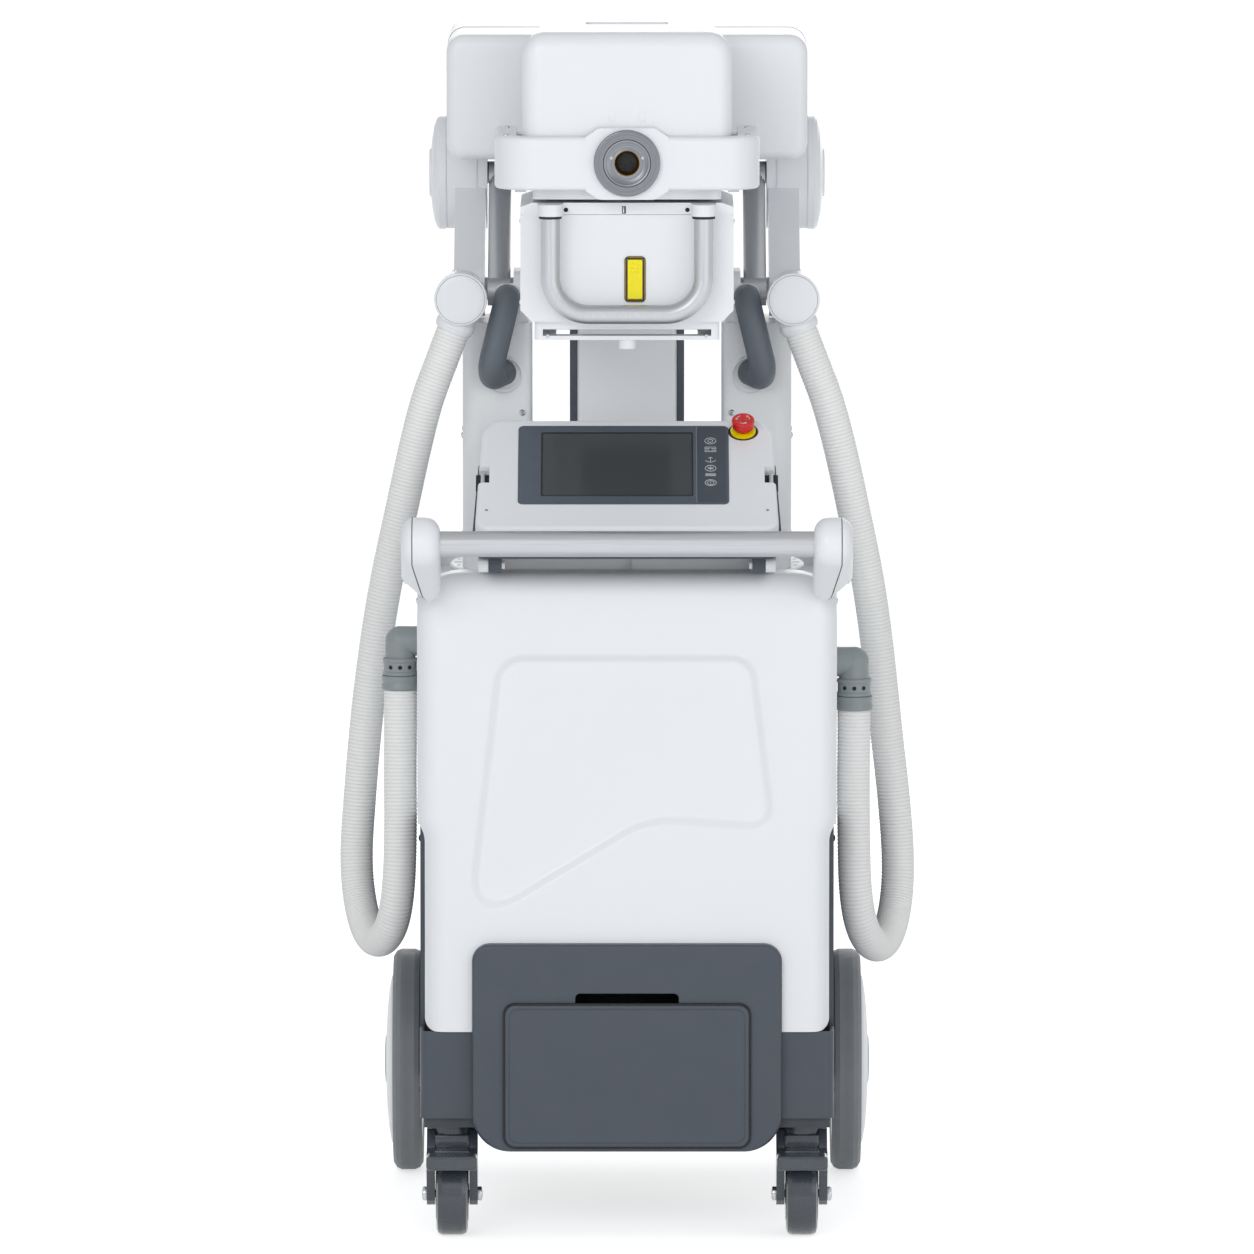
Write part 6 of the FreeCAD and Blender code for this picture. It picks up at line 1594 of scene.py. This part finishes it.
class XRAY_OT_body_details(bpy.types.Operator):
    """Makes the screws, inlet, earth stud, breaker and cable hooks of the body, and the drawer's lines"""

    bl_idname = "xray.body_details"
    bl_label = "Body details"

    def execute(self, context):
        self.cover_screws()
        self.mains_inlet()
        self.earth_stud()
        self.breaker()
        self.cable_hooks()
        self.drawer_line()
        return {"FINISHED"}

    def cover_screws(self):
        screw = socket_screw("cover_screw", mm(4.2))
        for side, sign in SIDES.items():
            upper = [at(sign * UPPER_SIDE, y, z) for y in (-205, 20, 245) for z in (770, 520)]
            fasteners("side_cover_screws_" + side, screw, upper, (sign, 0, 0), "chassis", "plated")
            lower = [at(sign * LOWER_SIDE, y, z) for y in (-215, -20) for z in (480, 170)]
            fasteners("skirt_screws_" + side, screw, lower, (sign, 0, 0), "chassis", "seal_and_painted_shade")
        rear = [at(x, 325, z) for x in (-205, 205) for z in (170, 470, 770)]
        fasteners("rear_cover_screws", screw, rear, (0, 1, 0), "chassis", "plated")
        discard(screw)

    def mains_inlet(self):
        outline = rounded_loop("XZ", REAR_FACE, *INLET, 5)
        plate = plate_piece("inlet_plate", outline, Vector((0, mm(3.0), 0)))
        soften_edges(plate, mm(0.8), 2, border_towards((0, 1, 0)))
        mouth = plate_piece(
            "inlet_mouth", [at(-158, 320, 226), at(-130, 320, 226), at(-130, 320, 244), at(-134, 320, 248),
                            at(-154, 320, 248), at(-158, 320, 244)], Vector((0, mm(20), 0)),
        )
        cut(plate, mouth)
        finish_piece(plate, "chassis", "seal_and_painted_shade")
        contacts = [(-150, 231), (-144, 238), (-138, 231)]
        pins = [box_piece("pin", (x - 1, 322, z), (x + 1, 326.4, z + 5)) for x, z in contacts]
        finish_piece(joined("inlet_pins", pins), "chassis", "plated")
        screw = slotted_screw("inlet_screw", mm(2.6))
        places = [at(x, 327.5, 238) for x in (-170, -118)]
        fasteners("inlet_screws", screw, places, (0, 1, 0), "chassis", "plated")
        discard(screw)

    def earth_stud(self):
        turned_part(
            "earth_stud", at(-84, REAR_FACE, 238), (0, 1, 0),
            [(0, 0), (0, 8), (1.5, 8), (2.0, 7.4), (2.0, 4), (9, 4), (11, 3), (11, 0)], 32,
            "chassis", "brass",
        )

    def breaker(self):
        outline = rounded_loop("XZ", REAR_FACE, *BREAKER, 3)
        surround = plate_piece("breaker_surround", outline, Vector((0, mm(2.0), 0)))
        soften_edges(surround, mm(0.6), 2, border_towards((0, 1, 0)))
        finish_piece(surround, "chassis", "seal_and_painted_shade")
        rocker = soft_box("breaker_rocker", (118, REAR_FACE, 220), (140, 329, 256), mm(1.4), 3)
        edit(rocker, "VERT", lambda v: v.co.y > mm(334) and v.co.z > mm(238))
        bpy.ops.transform.translate(value=(0, mm(2.2), 0))
        leave_edit()
        finish_piece(rocker, "chassis", "caster_dark")

    def cable_hooks(self):
        for side, sign in SIDES.items():
            x = sign * 170
            turned_part(
                "cable_hook_" + side, at(x, REAR_FACE, 520), (0, 1, 0),
                [(0, 0), (0, 20), (4, 20), (6, 15), (30, 14), (33, 22), (36, 23), (38.5, 21), (39, 0)], 48,
                "chassis", "slate_plastic",
            )

    def drawer_line(self):
        places = rounded_loop("XZ", DRAWER_FACE, (-143, 119), (143, 283), 10)
        line = wire_piece("drawer_lid_line", places, mm(0.5), 4, True)
        finish_piece(line, "drawer", "slate_plastic")
        low, high = [corner * 1000 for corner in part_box("drawer_front")]
        level = low.y - ORIGIN_SHIFT + 1.5
        seat = rounded_loop("XZ", level, (low.x, low.z), (high.x, high.z), 14, 6)
        seal_and_painted_shade = wire_piece("drawer_seal", seat, mm(1.3), 8, True)
        finish_piece(seal_and_painted_shade, "chassis", "seal_and_painted_shade")


# Wheels

# The space between the legs of a caster's fork, half of it
FORK_GAP = 21.2


class XRAY_OT_wheel_details(bpy.types.Operator):
    """Makes the wheel caps, the casters' axle caps, hoods and rings, and the hose clamps"""

    bl_idname = "xray.wheel_details"
    bl_label = "Wheel and hose fitting details"

    def execute(self, context):
        self.wheel_caps()
        self.caster_fittings()
        self.hose_clamps()
        return {"FINISHED"}

    def wheel_caps(self):
        for side, sign in SIDES.items():
            low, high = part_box("wheel_hub_" + side)
            outer = high.x if sign > 0 else low.x
            centre = Vector((outer, mm(REAR_AXLE_Y + ORIGIN_SHIFT), mm(REAR_AXLE_Z)))
            turned_part(
                "wheel_cap_" + side, centre, (sign, 0, 0),
                [(-3.0, 0), (-3.0, 30), (-0.4, 30), (0.6, 28.6), (1.0, 20), (1.1, 0)], 64,
                "rear_wheel_" + side, "fitting_grey",
            )

    def caster_fittings(self):
        for side, sign in SIDES.items():
            x = sign * CASTER_X
            for turn in (-1, 1):
                name = "caster_nut_" + side + ("_out" if turn * sign > 0 else "_in")
                turned_part(
                    name, at(x + turn * 30.8, CASTER_AXLE_Y, CASTER_AXLE_Z), (turn, 0, 0),
                    [(0, 0), (0, 8.4), (3.4, 8.9), (5.0, 8.3), (6.1, 5.2), (6.4, 0)], 32,
                    "caster_fork_" + side, "plated",
                )
            top = soft_box("top", (x - FORK_GAP, -271, 103), (x + FORK_GAP, -228, 122.5), mm(2.5), 3)
            apron = soft_box("apron", (x - FORK_GAP, -300, 100.6), (x + FORK_GAP, -262, 107), mm(2), 3)
            hood = joined("caster_hood_" + side, [top, apron])
            finish_piece(hood, "caster_fork_" + side, "caster_dark")
            turned_part(
                "caster_race_" + side, at(x, -240, 121.6), (0, 0, 1),
                [(0, 8), (0, 21.5), (1.2, 22.6), (4.2, 22.6), (5.2, 20.6), (6.8, 20.6), (8, 22.6),
                 (11.4, 22.6), (12.3, 21.5), (12.3, 8)], 48,
                "caster_fork_" + side, "plated",
            )
            rings = []
            for turn in (-1, 1):
                rings.append(turned_piece(
                    "hub_ring", at(x + turn * 19.0, CASTER_AXLE_Y, CASTER_AXLE_Z), (turn, 0, 0),
                    [(-0.5, 5.2), (-0.5, 33), (0.3, 33), (0.9, 31), (0.9, 14), (1.4, 12), (1.4, 5.2)], 48,
                ))
            finish_piece(joined("caster_hub_rings_" + side, rings), "caster_wheel_" + side, "caster_dark")

    def hose_clamps(self):
        screw = socket_screw("clamp_screw", mm(2.6))
        for side, sign in SIDES.items():
            end = at(*HOSE_POINTS[side][-1])
            cuff = end + Vector((0, 0, mm(0.3)))
            turned_part(
                "hose_cuff_" + side, cuff, (0, 0, 1),
                [(0, 20.6), (0, 22.0), (1, 22.8), (6, 22.8), (7, 22.2), (10, 22.2), (11, 22.8), (16, 22.8),
                 (17, 22), (17, 20.6)], 64,
                "chassis", "fitting_grey",
            )
            turned_part(
                "hose_clamp_" + side, cuff + Vector((0, 0, mm(17))), (0, 0, 1),
                [(0.2, 18.5), (0.2, 20.6), (1.0, 21.2), (4.5, 21.2), (5.2, 20.2), (16.5, 20.2), (17.2, 21.2),
                 (20.8, 21.2), (21.6, 20.6), (21.6, 18.5)], 64,
                "chassis", "fitting_grey",
            )
            middle = cuff + Vector((0, 0, mm(28)))
            places = []
            for turn in (-125, -90, -55, 90):
                out = Vector((math.cos(math.radians(turn)), math.sin(math.radians(turn)), 0))
                places.append((middle + out * mm(20.0), out))
            parts = [copy_along(screw, "clamp_screw_copy", place, out) for place, out in places]
            finish_piece(joined("hose_clamp_screws_" + side, parts), "chassis", "seal_and_painted_shade")
        discard(screw)


# Sidebar panel

GROUPS = [
    "stage", "finishes", "hoses", "head_details", "limiter_details", "arm_details", "column_details",
    "console_details", "handle_details", "front_cover", "body_details", "wheel_details",
]


class XRAY_PT_machine(bpy.types.Panel):
    """Lists the groups of pieces, with the sizes and colours"""

    bl_label = "Mobile x-ray machine"
    bl_idname = "XRAY_PT_machine"
    bl_space_type = "VIEW_3D"
    bl_region_type = "UI"
    bl_category = "X-ray"

    def draw(self, context):
        layout = self.layout
        for owner in (colours(), sizes()):
            box = layout.box()
            for name in owner.__annotations__:
                box.prop(owner, name)
        for group in GROUPS:
            layout.operator("xray." + group)


CLASSES = [
    XrayColours, XraySizes, XRAY_OT_stage, XRAY_OT_finishes, XRAY_OT_hoses, XRAY_OT_head_details,
    XRAY_OT_limiter_details, XRAY_OT_arm_details, XRAY_OT_column_details, XRAY_OT_console_details,
    XRAY_OT_handle_details, XRAY_OT_front_cover, XRAY_OT_body_details, XRAY_OT_wheel_details, XRAY_PT_machine,
]


def register():
    for item in CLASSES:
        bpy.utils.register_class(item)
    bpy.types.Scene.xray_colours = PointerProperty(type=XrayColours)
    bpy.types.Scene.xray_sizes = PointerProperty(type=XraySizes)


def unregister():
    del bpy.types.Scene.xray_sizes
    del bpy.types.Scene.xray_colours
    for item in reversed(CLASSES):
        bpy.utils.unregister_class(item)


def main():
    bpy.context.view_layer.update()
    register()
    for group in GROUPS:
        getattr(bpy.ops.xray, group)()


if __name__ == "__main__":
    main()
